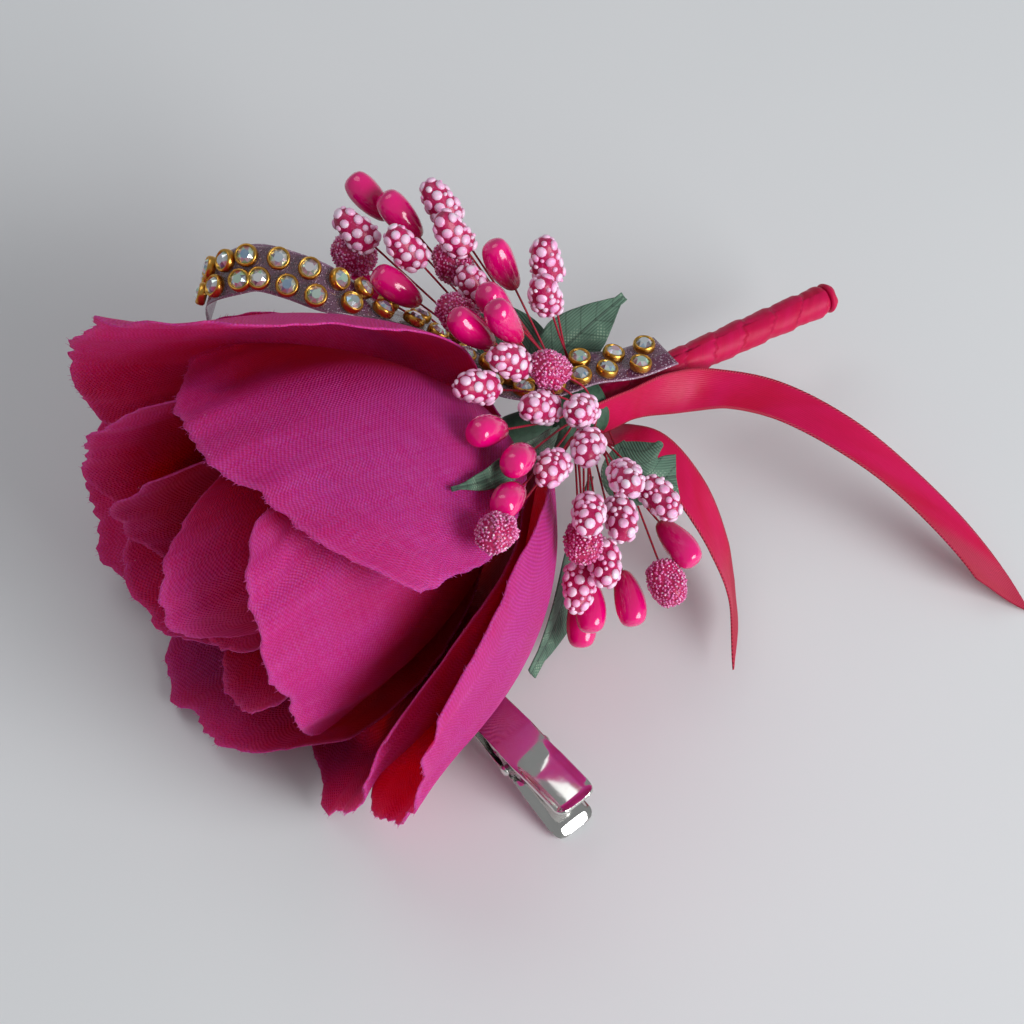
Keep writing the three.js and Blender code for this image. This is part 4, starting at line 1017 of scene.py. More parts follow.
def painted_shade_depths(surfaces):
    """For each petal a function of (u, v) that is painted into its colour as shade: 0 where it lies open,
    up to 1 where others hide it.
    """
    across, along = PAINTED_SHADE_CELLS
    verts, faces = [], []
    for at in surfaces:
        for j in range(along + 1):
            for i in range(across + 1):
                if i < across and j < along:
                    corner = len(verts)
                    faces.append((corner, corner + 1, corner + across + 2, corner + across + 1))
                verts.append(at(2 * i / across - 1, j / along))
    tree = BVHTree.FromPolygons(verts, faces)
    rays = []
    for k in range(PAINTED_SHADE_RAYS):
        height = 1 - 2 * (k + 0.5) / PAINTED_SHADE_RAYS
        rays.append(polar(math.sqrt(1 - height * height), k * GOLDEN_ANGLE, height))
    outward = [ray for ray in rays if ray.z > -0.3]
    painted_shades = []
    for at in surfaces:
        rows = []
        for j in range(along + 1):
            spots = [at((2 * i / across - 1) * 0.98, j / along * 0.99) for i in range(across + 1)]
            free = [sum(tree.ray_cast(spot + ray * 1.2, ray, 60)[0] is None for ray in outward)
                    for spot in spots]
            rows.append([1 - smooth(0.04, 0.4, count / len(rays)) for count in free])

        def depth(u, v, rows=rows):
            x, y = (u + 1) * across / 2, v * along
            i, j = min(int(x), across - 1), min(int(y), along - 1)
            low = lerp(rows[j][i], rows[j][i + 1], x - i)
            high = lerp(rows[j + 1][i], rows[j + 1][i + 1], x - i)
            return lerp(low, high, y - j)

        painted_shades.append(depth)
    return painted_shades


# Loose threads: the share of places that have none, the radius of one, and how far it strays sideways
FRAY_GAPS = 0.3
FRAY_RADIUS = 0.055
FRAY_DRIFT = 0.55


def loose_threads(at, width, length, chance):
    """Fine threads that stand out of a petal's cut edge, each a thin spike of a few faces."""
    work = bmesh.new()
    pitch = sizes().fray_pitch / MM
    rim = []
    for side in (-1, 1):
        count = int(0.75 * length / pitch)
        rim += [(side, lerp(0.25, 1, k / count), 0) for k in range(count)]
    count = int(2 * width / pitch)
    rim += [(lerp(-1, 1, k / count), 1, 1) for k in range(count)]
    for u, v, along in rim:
        if chance.random() < FRAY_GAPS:
            continue
        shift = chance.uniform(-0.5, 0.5) * pitch
        u0 = min(1, max(-1, u + (shift / width if along else 0)))
        v0 = min(1, max(0.2, v + (0 if along else shift / length)))
        edge = at(u0, v0)
        inner = at(u0 * (1 if along else 0.97), v0 - (0.02 if along else 0))
        outward = (edge - inner).normalized()
        drift = Vector((chance.uniform(-1, 1), chance.uniform(-1, 1), chance.uniform(-0.6, 1))) * FRAY_DRIFT
        reach = sizes().fray_length / MM * chance.uniform(0.25, 1) ** 1.6
        tip = edge + (outward + drift).normalized() * reach
        tip.z = max(tip.z, 0.1)
        spike(work, in_metres(edge - outward * 0.15), in_metres(tip), FRAY_RADIUS * MM)
    return work


def spike(work, foot, tip, radius):
    """Thin three-sided spike from foot to tip."""
    axis = tip - foot
    turn = axis.to_track_quat("Z", "Y").to_matrix().to_4x4()
    turn.translation = (foot + tip) / 2
    bmesh.ops.create_cone(work, cap_ends=True, segments=3, radius1=radius, radius2=radius * 0.3,
                          depth=axis.length, matrix=turn)


class CORSAGE_OT_petals(bpy.types.Operator):
    """Make the fourteen petals of pressed fabric, with creases, rolled rims and frayed edges"""

    bl_idname = "corsage.petals"
    bl_label = "Petals"

    def execute(self, context):
        cloth, lining, thread = (material(maker) for maker in (petal_cloth, petal_lining_painted_shade, petal_fray))
        cell = sizes().cell / MM * 1
        surfaces = [petal_surface(petal, 3.7 * k + 1.3) for k, petal in enumerate(PETALS.values())]
        painted_shades = painted_shade_depths(surfaces)
        for number, (node, petal) in enumerate(PETALS.items()):
            at = surfaces[number]
            length = petal["length"] * PETAL_LENGTH
            width = petal["width"] * PETAL_HALF_WIDTH * 2
            sheet = cloth_grid(at, (round(width / cell), round(length / cell)),
                               lambda v, petal=petal: 2 * petal_width(petal, v), length, painted_shades[number])
            # The inner side takes the extra painted shade, except on the heart and the bud
            inner = cloth if node in {"petal_heart", "petal_bud"} else lining
            made = finished(node + "_cloth", sheet, [cloth, inner], "petal_fabric", node)
            thicken(made, sizes().cloth_thickness, 1)
            fray = loose_threads(at, width, length, random.Random(number + 1))
            threads = finished(node + "_fray", fray, [thread], "petal_fabric")
            petal_area(petal)
        return {"FINISHED"}


class Track:
    """Centripetal curve through points, read by a share from 0 to 1."""

    def __init__(self, points):
        self.points = [Vector(point) for point in points]

    def at(self, share):
        last = len(self.points) - 1
        place = min(1, max(0, share)) * last
        i = min(int(place), last - 1)
        p1, p2 = self.points[i], self.points[i + 1]
        p0 = self.points[i - 1] if i > 0 else 2 * p1 - p2
        p3 = self.points[i + 2] if i + 2 <= last else 2 * p2 - p1
        d1 = (p1 - p2).length ** 0.5 or 1
        d0 = (p0 - p1).length ** 0.5 or d1
        d2 = (p2 - p3).length ** 0.5 or d1
        start = ((p1 - p0) / d0 - (p2 - p0) / (d0 + d1) + (p2 - p1) / d1) * d1
        end = ((p2 - p1) / d1 - (p3 - p1) / (d1 + d2) + (p3 - p2) / d2) * d1
        w = place - i
        return (p1 + start * w + (3 * (p2 - p1) - 2 * start - end) * w * w
                + (2 * (p1 - p2) + start + end) * w * w * w)

    def direction(self, share):
        low, high = max(0, share - 0.0001), min(1, share + 0.0001)
        return (self.at(high) - self.at(low)).normalized()

    def length(self):
        rows = [self.at(k / 200) for k in range(201)]
        return sum((b - a).length for a, b in zip(rows, rows[1:]))


class Outline(Track):
    """Centripetal curve through (radius, height) points."""

    def __init__(self, points):
        super().__init__([(radius, height, 0) for radius, height in points])


def strap_surface(points, facings, half_width, crease=0):
    """Middle surface of a strap along points; facings are the directions its broad face looks in."""
    track = Track(points)
    looks_to = Track([Vector(facing).normalized() for facing in facings])

    def at(u, v):
        tangent = track.direction(v)
        side = looks_to.at(v).normalized().cross(tangent).normalized()
        normal = tangent.cross(side)
        return track.at(v) + side * (u * half_width(v)) + normal * (crease * abs(u) * half_width(v))

    return at, track


def faces_of(verts):
    """Faces that meet any of the vertices, each once, in a fixed order."""
    return list(dict.fromkeys(face for vert in verts for face in vert.link_faces))


def closed_form(work, at, cells):
    """Closed skin over at(u, v), whose u goes once round; poles and seams are merged, faces outward."""
    uv = work.loops.layers.uv.get("cloth") or work.loops.layers.uv.new("cloth")
    share = work.verts.layers.float.get("along") or work.verts.layers.float.new("along")
    before = set(work.verts)
    bmesh.ops.create_grid(work, x_segments=cells[0], y_segments=cells[1], size=1)
    verts = [vert for vert in work.verts if vert not in before]
    flat = {}
    for vert in verts:
        u, v = (vert.co.x + 1) / 2, (vert.co.y + 1) / 2
        place, across, length = at(u, v)
        flat[vert] = (across, length)
        vert[share] = v
        vert.co = in_metres(place)
    faces = faces_of(verts)
    for face in faces:
        for loop in face.loops:
            loop[uv].uv = flat[loop.vert]
    bmesh.ops.remove_doubles(work, verts=verts, dist=MERGE_DISTANCE)
    bmesh.ops.recalc_face_normals(work, faces=[face for face in faces if face.is_valid])


def tube_form(work, places, radius, cells, tied, tilt, into_frame):
    """Round wire through places, tied off over a share at both ends; it never runs along tilt."""
    track = Track(places)
    total = track.length()

    def at(u, v):
        share = min(1, max(0, (v - tied) / (1 - 2 * tied)))
        tangent = track.direction(share)
        side = tangent.cross(Vector(tilt)).normalized()
        up = tangent.cross(side)
        angle = TURN * u
        width = radius if tied / 2 < v < 1 - tied / 2 else 0
        place = track.at(share) + (side * math.cos(angle) + up * math.sin(angle)) * width
        return into_frame(place), u * 2, share * total

    closed_form(work, at, cells)


def fresh(work):
    """Vertices that no call of settle has marked yet."""
    done = work.verts.layers.int.get("done") or work.verts.layers.int.new("done")
    return [vert for vert in work.verts if not vert[done]]


def settle(work, turn):
    """Moves the fresh vertices to their place and marks them."""
    verts = fresh(work)
    bmesh.ops.transform(work, matrix=turn, verts=verts)
    done = work.verts.layers.int["done"]
    for vert in verts:
        vert[done] = 1


def spun_form(work, rows, steps, turn):
    """Closed body spun about Z from (radius, height) points in metres, then moved to its place."""
    start = [work.verts.new((radius, 0, height)) for radius, height in rows]
    edges = [work.edges.new(pair) for pair in zip(start, start[1:])]
    bmesh.ops.spin(work, geom=start + edges, cent=(0, 0, 0), axis=(0, 0, 1), dvec=(0, 0, 0),
                   angle=TURN, steps=steps, use_merge=True, use_normal_flip=False, use_duplicate=False)
    bmesh.ops.remove_doubles(work, verts=fresh(work), dist=2 * MERGE_DISTANCE)
    bmesh.ops.recalc_face_normals(work, faces=faces_of(fresh(work)))
    settle(work, turn)


def lathe_form(work, outline, cells, relief):
    """Closed body turned about the rose axis, through (radius, height) points, with a relief."""
    track = Outline(outline)

    def at(u, v):
        place = track.at(v)
        radius = max(0, place.x)
        if radius > 0.4:
            radius += relief(u, place.y)
        return in_rose(polar(radius, TURN * u, place.y)), u * 30, place.y

    closed_form(work, at, cells)


def wound_ridge(turn, height, pitch, depth):
    """Step of a tape that is wound up a round body."""
    phase = (height / pitch + turn) % 1
    return depth * (phase - smooth(0.92, 1, phase))


def shares_at(shares, v):
    """Uneven spacing: the share at position v of a list."""
    place = v * (len(shares) - 1)
    i = min(int(place), len(shares) - 2)
    return lerp(shares[i], shares[i + 1], place - i)


class CORSAGE_OT_stem(bpy.types.Operator):
    """Make the taped hub and binding, the ribbon wound on the stem and the fold that closes its end"""

    bl_idname = "corsage.stem"
    bl_label = "Stem"

    def execute(self, context):
        tape = material(floral_tape)
        ribbon = material(satin_ribbon_weave)
        end, skirt, top = -STEM_LENGTH, -HUB_RADIUS, HUB_HEIGHT
        outline = [(0, end), (1.1, end), (1.5, end + 0.5), (1.5, -40), (1.5, -16), (1.5, -8),
                   (2.3, skirt - 0.6), (3.3, skirt + 1.4), (3.6, 2), (3.6, 9), (3.5, top - 2),
                   (2.8, top + 0.2), (1.6, top + 1), (0, top + 1.2)]
        work = bmesh.new()
        lathe_form(work, outline, HUB_CELLS,
                   lambda u, h: wound_ridge(u, h, 3.1, 0.16) - 0.1 + 0.1 * noise_at(u * 4, h * 0.5, 2))
        finished("stem_core_tape", work, [tape], "binding_tape", "stem_core")
        work = bmesh.new()
        inner, outer = STEM_RADIUS + GAP, BINDING_RADIUS
        back, front, middle = BINDING_BACK, BINDING_FRONT, (BINDING_BACK + BINDING_FRONT) / 2
        ring = [(inner, back), (outer - 0.9, back + 0.05), (outer - 0.1, back + 0.9), (outer, back + 3),
                (outer - 0.15, middle), (outer, front - 3), (outer - 0.1, front - 0.9),
                (outer - 0.9, front - 0.05), (inner, front), (inner, middle), (inner, back)]
        lathe_form(work, ring, BINDING_CELLS, lambda u, h: wound_ridge(u, h, 2.6, 0.3) - 0.3)
        finished("spray_binding_tape", work, [tape], "binding_tape", "spray_binding")
        self.winding(ribbon)
        self.end_fold(ribbon)
        return {"FINISHED"}

    # The winding's relief, in millimetres: an edge's step, the pull lines on a turn, and soft lumps
    STEP = 0.34
    PULL = 0.07
    LUMPS = 0.14

    def winding(self, ribbon):
        """Ribbon wound tightly round the stem, each turn's edge a step over the next one."""
        top, low = BINDING_BACK - 0.08, -STEM_LENGTH + 0.02
        inner, outer = STEM_RADIUS + 0.2, WRAP_OUTER - 0.12
        outline = Outline([(inner, top), (outer - 0.5, top), (outer, top - 0.7), (outer, top - 4),
                           (outer, (top + low) / 2), (outer, low + 4), (outer - 0.05, low + 0.5),
                           (outer - 0.5, low), (inner, low)])
        shares = [0, 0.01, 0.02, 0.035, 0.06] + [0.06 + 0.88 * k / 190 for k in range(1, 191)]
        shares += [0.955, 0.97, 0.985, 1]

        def at(u, v):
            place = outline.at(v)
            angle = TURN * u
            radius, height = place.x, place.y
            out = smooth(inner + 0.2, outer - 0.1, radius)
            drift = 0.07 * math.sin(angle * 2 + 1) + 0.05 * math.sin(angle * 3 + height * 0.2)
            phase = ((height - BINDING_BACK) / WRAP_PITCH + u + drift) % 1
            step = self.STEP * (smooth(0, 0.05, phase) * (1 - phase) - 0.5)
            pull = self.PULL * math.sin(TURN * (phase * 3 + u * 0.5)) * phase
            soft = self.LUMPS * noise_at(math.cos(angle) * 1.2, math.sin(angle) * 1.2, height * 0.22)
            radius += (step + pull + soft - 0.06) * out
            across = (phase - 0.5) * RIBBON_WIDTH
            return in_rose(polar(radius, angle, height)), across, (angle + height * 0.7) * outer

        work = bmesh.new()
        closed_form(work, lambda u, v: at(u, shares_at(shares, v)), (WRAP_CELLS_ROUND, len(shares) - 1))
        rims = [edge for edge in work.edges if len(edge.link_faces) == 1]
        bmesh.ops.bridge_loops(work, edges=rims)
        bmesh.ops.recalc_face_normals(work, faces=work.faces[:])
        finished("stem_wrap_ribbon", work, [ribbon], "satin_ribbon", "stem_wrap")

    def end_fold(self, ribbon):
        """Ribbon folded over the stem's end in a few pleats."""
        low = -STEM_LENGTH - GAP
        wide = WRAP_OUTER - 0.2
        outline = Outline([(0, low + 0.12), (1.4, low + 0.12), (wide - 0.3, low + 0.06), (wide, low - 0.25),
                           (wide - 0.12, low - 0.75), (wide * 0.78, low - 1.28), (wide * 0.4, low - 1.58),
                           (0, low - 1.6)])

        def at(u, v):
            place = outline.at(v)
            angle = TURN * u
            pleat = 0.1 * math.sin(5 * angle + 6 * v) * smooth(0.5, 0.7, v) * smooth(0, 0.2, 1 - v)
            return in_rose(polar(place.x, angle, place.y + pleat)), u * 18 + 3 * v, v * 6

        work = bmesh.new()
        closed_form(work, at, END_FOLD_CELLS)
        finished("stem_end_fold_ribbon", work, [ribbon], "satin_ribbon", "stem_end_fold")


# Outlines of the stamen heads, as shares of radius and of length from the neck to the tip
HEAD_OUTLINES = {
    "pip": [(0, 0), (0.3, 0.01), (0.58, 0.1), (0.84, 0.3), (0.98, 0.52), (0.98, 0.72), (0.8, 0.9),
            (0.46, 0.98), (0, 1)],
    "dotted": [(0, 0), (0.5, 0.02), (0.8, 0.12), (0.88, 0.3), (0.84, 0.52), (0.74, 0.72), (0.56, 0.88),
               (0.28, 0.97), (0, 0.98)],
    "sugar": [(0, 0), (0.45, 0.02), (0.78, 0.14), (0.92, 0.36), (0.9, 0.58), (0.76, 0.79), (0.46, 0.93),
              (0, 0.96)],
}


def stamen_arm(bend, head, side, length):
    """Bend root, fan point, neck and direction of one half of a stamen's wire, in the rose frame."""
    bend_height = BINDING_FRONT - bend[1] * BINDING_LENGTH
    tip = about_axis(head[0], head[1] * SPRAY_REACH, head[2] * SPRAY_REACH)
    root = about_axis(bend[0] + side * BEND_HALF_ANGLE, BINDING_RADIUS + GAP + WIRE_RADIUS, bend_height)
    fan_height = lerp(bend_height, tip.z, FAN_HEIGHT_SHARE)
    fan = about_axis(lerp(bend[0], head[0], FAN_SHARE), FAN_RADIUS, fan_height)
    direction = (tip - fan).normalized()
    neck = tip - direction * length / 2
    return root, fan, neck, direction


def bezier(points, share):
    a, b, c, d = points
    q = 1 - share
    return a * q ** 3 + b * 3 * q * q * share + c * 3 * q * share * share + d * share ** 3


def head_form(work, kind, neck, direction, radius, length):
    """Turned body of a stamen head, slightly bent and uneven."""
    outline = Outline(HEAD_OUTLINES[kind])
    side = direction.orthogonal().normalized()
    up = direction.cross(side)
    seed = neck.x * 0.37 + neck.y * 0.21
    rough = {"pip": 0.03, "dotted": 0.05, "sugar": 0.2}[kind]

    def place_of(u, v):
        row = outline.at(v)
        angle = TURN * u
        around = side * math.cos(angle) + up * math.sin(angle)
        lump = 1 + rough * noise.noise(around * 1.6 + Vector((seed, v * 4, 0)))
        bow = 0.35 * math.sin(math.pi * row.y)
        return neck + direction * (row.y * length) + around * (max(0, row.x) * radius * lump) + side * bow

    def at(u, v):
        return in_rose(place_of(u, v)), u * 10, v * length

    closed_form(work, at, HEAD_CELLS)
    return place_of


def skin_spot(place_of, u, v):
    """Place and outward normal of a head at (u, v)."""
    spot = place_of(u, v)
    across = place_of(u + 0.01, v) - place_of(u - 0.01, v)
    along = place_of(u, min(1, v + 0.01)) - place_of(u, v - 0.01)
    normal = across.cross(along).normalized()
    if normal.dot(place_of(u + 0.5, v) - spot) > 0:
        normal = -normal
    return spot, normal


def in_world(spot, normal):
    """Matrix whose Z axis is a normal of the rose frame."""
    facing = ROSE_UP * normal.x + ROSE_SIDE * normal.y + ROSE_AXIS * normal.z
    turn = facing.to_track_quat("Z", "Y").to_matrix().to_4x4()
    turn.translation = in_metres(in_rose(spot))
    return turn


# Raised dots: half widths, tries for each, spacing and height; sizes of the clear grains; in millimetres
DOT_WIDTHS = (0.92, 0.8, 0.7, 0.6, 0.5, 0.42, 0.36)
DOT_TRIES = 110
DOT_SPACING = 0.97
DOT_HEIGHT = 0.44
GRAIN_SIZES = (0.26, 0.46)


def stud_dots(work, place_of, count, chance):
    """Raised dots thrown over a berry: large ones first, then smaller ones in the gaps."""
    laid = []
    for width in DOT_WIDTHS:
        for k in range(DOT_TRIES):
            if len(laid) >= count:
                break
            v = math.acos(1 - 2 * chance.uniform(0.02, 0.985)) / math.pi
            spot, normal = skin_spot(place_of, chance.random(), v)
            if all((spot - other).length > (width + size) * DOT_SPACING for other, size in laid):
                laid.append((spot, width))
                turn = in_world(spot - normal * 0.04, normal)
                sizes_of_dot = (width * MM, width * MM * chance.uniform(0.9, 1), DOT_HEIGHT * MM, 1)
                shape = Matrix.Diagonal(sizes_of_dot)
                bmesh.ops.create_uvsphere(work, u_segments=9, v_segments=5, radius=1, matrix=turn @ shape)


def stud_grains(work, place_of, count, chance):
    """Small clear grains strewn over a berry."""
    for k in range(count):
        v = math.acos(1 - 2 * (k + 0.5) / count) / math.pi
        u = (k * GOLDEN_SHARE + chance.uniform(-0.02, 0.02)) % 1
        spot, normal = skin_spot(place_of, u, 0.03 + 0.94 * v)
        spun = Quaternion((chance.random(), chance.random(), chance.random(), 0.5)).normalized()
        turn = in_world(spot + normal * chance.uniform(-0.02, 0.12), normal) @ spun.to_matrix().to_4x4()
        shape = Matrix.Diagonal((1, chance.uniform(0.6, 1), chance.uniform(0.6, 1), 1))
        bmesh.ops.create_cube(work, size=chance.uniform(*GRAIN_SIZES) * MM, matrix=turn @ shape)


class CORSAGE_OT_stamens(bpy.types.Operator):
    """Make the stamens: threads from the binding, with lacquered, dotted and sugared heads"""

    bl_idname = "corsage.stamens"
    bl_label = "Stamens"

    def execute(self, context):
        finishes = {
            "pip": ([stamen_thread, gloss_lacquer], "gloss_pip"),
            "dotted": ([stamen_thread, foam_berry, raised_dot], "dotted_berry"),
            "sugar": ([stamen_thread, foam_berry, sugar_grain], "sugar_berry"),
        }
        for kind, rows in STAMENS.items():
            makers, slot = finishes[kind]
            for number, (bend, heads) in enumerate(rows, 1):
                node = f"stamen_{kind}_{number:02}"
                chance = random.Random(number * 7 + len(kind))
                work = bmesh.new()
                self.thread_and_heads(work, kind, bend, heads, chance)
                finished(node + "_head", work, [material(maker) for maker in makers], slot, node)
        return {"FINISHED"}

    def thread_and_heads(self, work, kind, bend, heads, chance):
        radius, length = HEAD_SIZES[kind]
        sides = (-1, 1) if len(heads) > 1 else (0,)
        arms = [stamen_arm(bend, head, side, length) for head, side in zip(heads, sides)]
        places = []
        for root, fan, neck, direction in arms:
            half = [bezier((root, fan, fan.lerp(neck, 1 / 3), neck), k / 9) for k in range(10)]
            half.append(neck + direction * 0.5)
            places = half if not places else places[::-1] + half
        tube_form(work, places, WIRE_RADIUS * 0.6, THREAD_CELLS, 0.01, (0.31, 0.22, 0.92), in_rose)
        self.paint(work, 0)
        for root, fan, neck, direction in arms:
            place_of = head_form(work, kind, neck, direction, radius, length)
            self.paint(work, 1)
            if kind == "dotted":
                stud_dots(work, place_of, sizes().dots, chance)
            if kind == "sugar":
                stud_grains(work, place_of, sizes().grains, chance)
            self.paint(work, 2)

    def paint(self, work, index):
        """Gives the faces that were added last their material."""
        done = work.faces.layers.int.get("done") or work.faces.layers.int.new("done")
        for face in work.faces:
            if not face[done]:
                face[done] = 1
                face.material_index = index


def leaf_width(leaf, v):
    swell = math.sin(math.pi * (1 - (1 - v) ** 1.25)) ** 0.8
    blunt = (1 - leaf["point"]) * smooth(0.3, 0.9, v)
    return LEAF_HALF_WIDTH * leaf["width"] * max(LEAF_STALK_SHARE, swell, blunt)


class CORSAGE_OT_leaves(bpy.types.Operator):
    """Make the leaves of net-like cloth, creased along the middle and a little ruffled"""

    bl_idname = "corsage.leaves"
    bl_label = "Leaves"

    def execute(self, context):
        cloth = material(leaf_cloth)
        for number, (node, leaf) in enumerate(LEAVES.items()):
            points = [Vector(place) * LEAF_REACH for place in leaf["places"]]
            flat, track = strap_surface(points, leaf["facings"], lambda v, leaf=leaf: leaf_width(leaf, v),
                                        LEAF_CREASE_SHARE)
            length = track.length()

            def at(u, v, flat=flat, number=number):
                place = flat(u, v)
                ruffle = noise_at(u * 1.5 + number * 5, v * 6, 0) * abs(u) ** 2
                return place + Vector((0, 0, 0.55 * ruffle * smooth(0.1, 0.3, v)))

            width = LEAF_HALF_WIDTH * leaf["width"] * 2
            work = cloth_grid(at, LEAF_CELLS, lambda v, leaf=leaf: 2 * leaf_width(leaf, v), length)
            made = finished(node + "_cloth", work, [cloth], "leaf_fabric", node)
            thicken(made, LEAF_THICKNESS)
            if width >= 10:
                widths = [2 * leaf_width(leaf, (k + 0.5) / AREA_ROWS) for k in range(AREA_ROWS)]
        return {"FINISHED"}


class CORSAGE_OT_ribbons(bpy.types.Operator):
    """Make the two satin ribbon tails, with woven edges and cut ends"""

    bl_idname = "corsage.ribbons"
    bl_label = "Ribbon tails"

    def execute(self, context):
        cloth = material(satin_ribbon_weave)
        for number, (node, ribbon) in enumerate(RIBBONS.items()):
            points = [Vector(place) * RIBBON_REACH for place in ribbon["places"]]
            points.insert(0, points[0].lerp(points[1], -1.2))
            facings = [ribbon["facings"][0], *ribbon["facings"]]
            flat, track = strap_surface(points, facings, lambda v: RIBBON_WIDTH / 2)
            length = track.length()
            slant = ribbon["slant"]

            def at(u, v, flat=flat, slant=slant, number=number):
                v = min(1, max(0, v * (1 - abs(slant) + slant * u)))
                place = flat(u, v)
                cup = 0.25 * (u * u - 0.4)
                fray_edge = 0.12 * noise_at(u * 14, number, 3) * smooth(0.97, 1, v)
                lift = noise_at(u * 0.8 + number * 3, v * 9, 0) * 0.3
                place += Vector((fray_edge, fray_edge, (cup + lift) * smooth(0, 0.2, v)))
                place.z = max(place.z, 0.2)
                return place

            work = cloth_grid(at, RIBBON_CELLS, lambda v: RIBBON_WIDTH, length)
            made = finished(node + "_satin", work, [cloth], "satin_ribbon", node)
            thicken(made, sizes().ribbon_thickness)
        return {"FINISHED"}


def band_track():
    points = [in_rose(about_axis(around, radius * BAND_REACH, height * BAND_REACH))
              for around, radius, height in BAND_PLACES]
    return strap_surface(points, BAND_FACINGS, lambda v: BAND_WIDTH / 2)


class CORSAGE_OT_band(bpy.types.Operator):
    """Make the clear tape of the band, its gold cups and the faceted stones in them"""

    bl_idname = "corsage.band"
    bl_label = "Rhinestone band"

    def execute(self, context):
        at, track = band_track()
        length = track.length()
        film = cloth_grid(at, FILM_CELLS, lambda v: BAND_WIDTH, length)
        materials = [material(clear_film)]
        tape = finished("rhinestone_tape_film", film, materials, "clear_tape", "rhinestone_tape")
        thicken(tape, FILM_THICKNESS)
        cups = bmesh.new()
        stones = bmesh.new()
        facet = stones.faces.layers.float.new("facet")
        chance = random.Random(11)
        count = math.floor((length - CUP_PITCH) / (CUP_PITCH / 2))
        for k in range(count):
            v = (CUP_PITCH / 2 + (k * CUP_PITCH) / 2) / length
            u = (1 if k % 2 else -1) * CUP_ROW_SPACING / BAND_WIDTH
            base = at(u, v)
            across = (at(1, v) - at(-1, v)).normalized()
            along = (at(u, v + 0.005) - at(u, v - 0.005)).normalized()
            normal = along.cross(across).normalized()
            turn = Matrix((across, normal.cross(across), normal)).transposed().to_4x4()
            turn = turn @ Matrix.Rotation(chance.uniform(-0.3, 0.3), 4, "Z")
            turn = turn @ Matrix.Rotation(chance.uniform(-0.05, 0.05), 4, "X")
            turn.translation = in_metres(base + normal * (BAND_THICKNESS / 2 + GAP * 0.4))
            self.cup(cups, turn)
            self.stone(stones, turn, facet, chance)
        finished("rhinestone_cups_gold", cups, [material(gold_plate)], "gold_cups", "rhinestone_cups")
        finished("rhinestones", stones, [material(cut_stone)], "gold_cups", smooth_faces=False)
        return {"FINISHED"}

    def cup(self, work, turn):
        """Cup with a wide rolled rim."""
        rows = [(0, 0.02), (0.8, 0), (0.95, 0.12), (1, 0.42), (0.98, 0.74), (0.92, 0.94), (0.84, 1.02),
                (0.76, 0.94), (0.73, 0.74), (0, 0.6)]
        rows = [(share * CUP_RADIUS * MM, height * CUP_HEIGHT * MM) for share, height in rows]
        spun_form(work, rows, CUP_STEPS, turn)

    def stone(self, work, turn, facet, chance):
        """Stone with a flat table, a crown of facets and a low point into its cup."""
        around = sizes().stone_facets
        girdle, table = 0.76 * CUP_RADIUS * MM, 0.4 * CUP_RADIUS * MM
        low, edge, top = 0.62 * CUP_HEIGHT * MM, 0.84 * CUP_HEIGHT * MM, 1.24 * CUP_HEIGHT * MM
        middle = Matrix.Translation((0, 0, (top + edge) / 2))
        crown = bmesh.ops.create_cone(work, cap_ends=True, segments=around, radius1=girdle, radius2=table,
                                      depth=top - edge, matrix=middle)
        rim = [vert for vert in crown["verts"] if vert.co.z < (top + edge) / 2]
        shift = Matrix.Rotation(math.pi / around, 4, "Z")
        bmesh.ops.transform(work, matrix=shift, verts=rim)
        sides = [face for face in faces_of(crown["verts"]) if len(face.verts) == 4]
        bmesh.ops.triangulate(work, faces=sides)
        foot = [face for face in rim[0].link_faces if len(face.verts) == around]
        poked = bmesh.ops.poke(work, faces=foot)
        for vert in poked["verts"]:
            vert.co.z = low
        # A random tone for each facet, which the stone's material paints as a reflection
        for face in faces_of(fresh(work)):
            face[facet] = chance.random()
        settle(work, turn)


def clip_half_width(x):
    """Half width of a clip plate along its length, narrowing towards the jaw tips."""
    half = CLIP_WIDTH / 2
    if x > EAR_HALF_LENGTH:
        half = lerp(half, CLIP_TIP_WIDTH / 2, (x - EAR_HALF_LENGTH) / (CLIP_JAW_LENGTH - EAR_HALF_LENGTH))
    return half


def clip_height(x, side):
    """Height of a clip plate's middle over the pin, along its length."""
    handle = UPPER_HANDLE_HEIGHT if side > 0 else LOWER_HANDLE_DEPTH
    bite = (GAP + CLIP_PLATE) / 2
    if x < -EAR_HALF_LENGTH:
        share = (-EAR_HALF_LENGTH - x) / (CLIP_HANDLE_LENGTH - EAR_HALF_LENGTH)
        height = lerp(CLIP_PIVOT_OFFSET, handle, share)
    elif x < EAR_HALF_LENGTH:
        height = CLIP_PIVOT_OFFSET
    else:
        share = min(1, (x - EAR_HALF_LENGTH) / (CLIP_JAW_LENGTH - CLIP_BITE_LENGTH - EAR_HALF_LENGTH))
        height = lerp(CLIP_PIVOT_OFFSET, bite, share)
    return side * height


# Relief of the pressed plates, in millimetres
PLATE_CORNER = 1.6
HANDLE_RISE = 0.75
HANDLE_DISH = 0.35
HANDLE_LIP = 0.55
JAW_BOW = 0.45
TEETH_LENGTH = 3.4
TEETH_PITCH = 1.1
TEETH_HEIGHT = 0.09


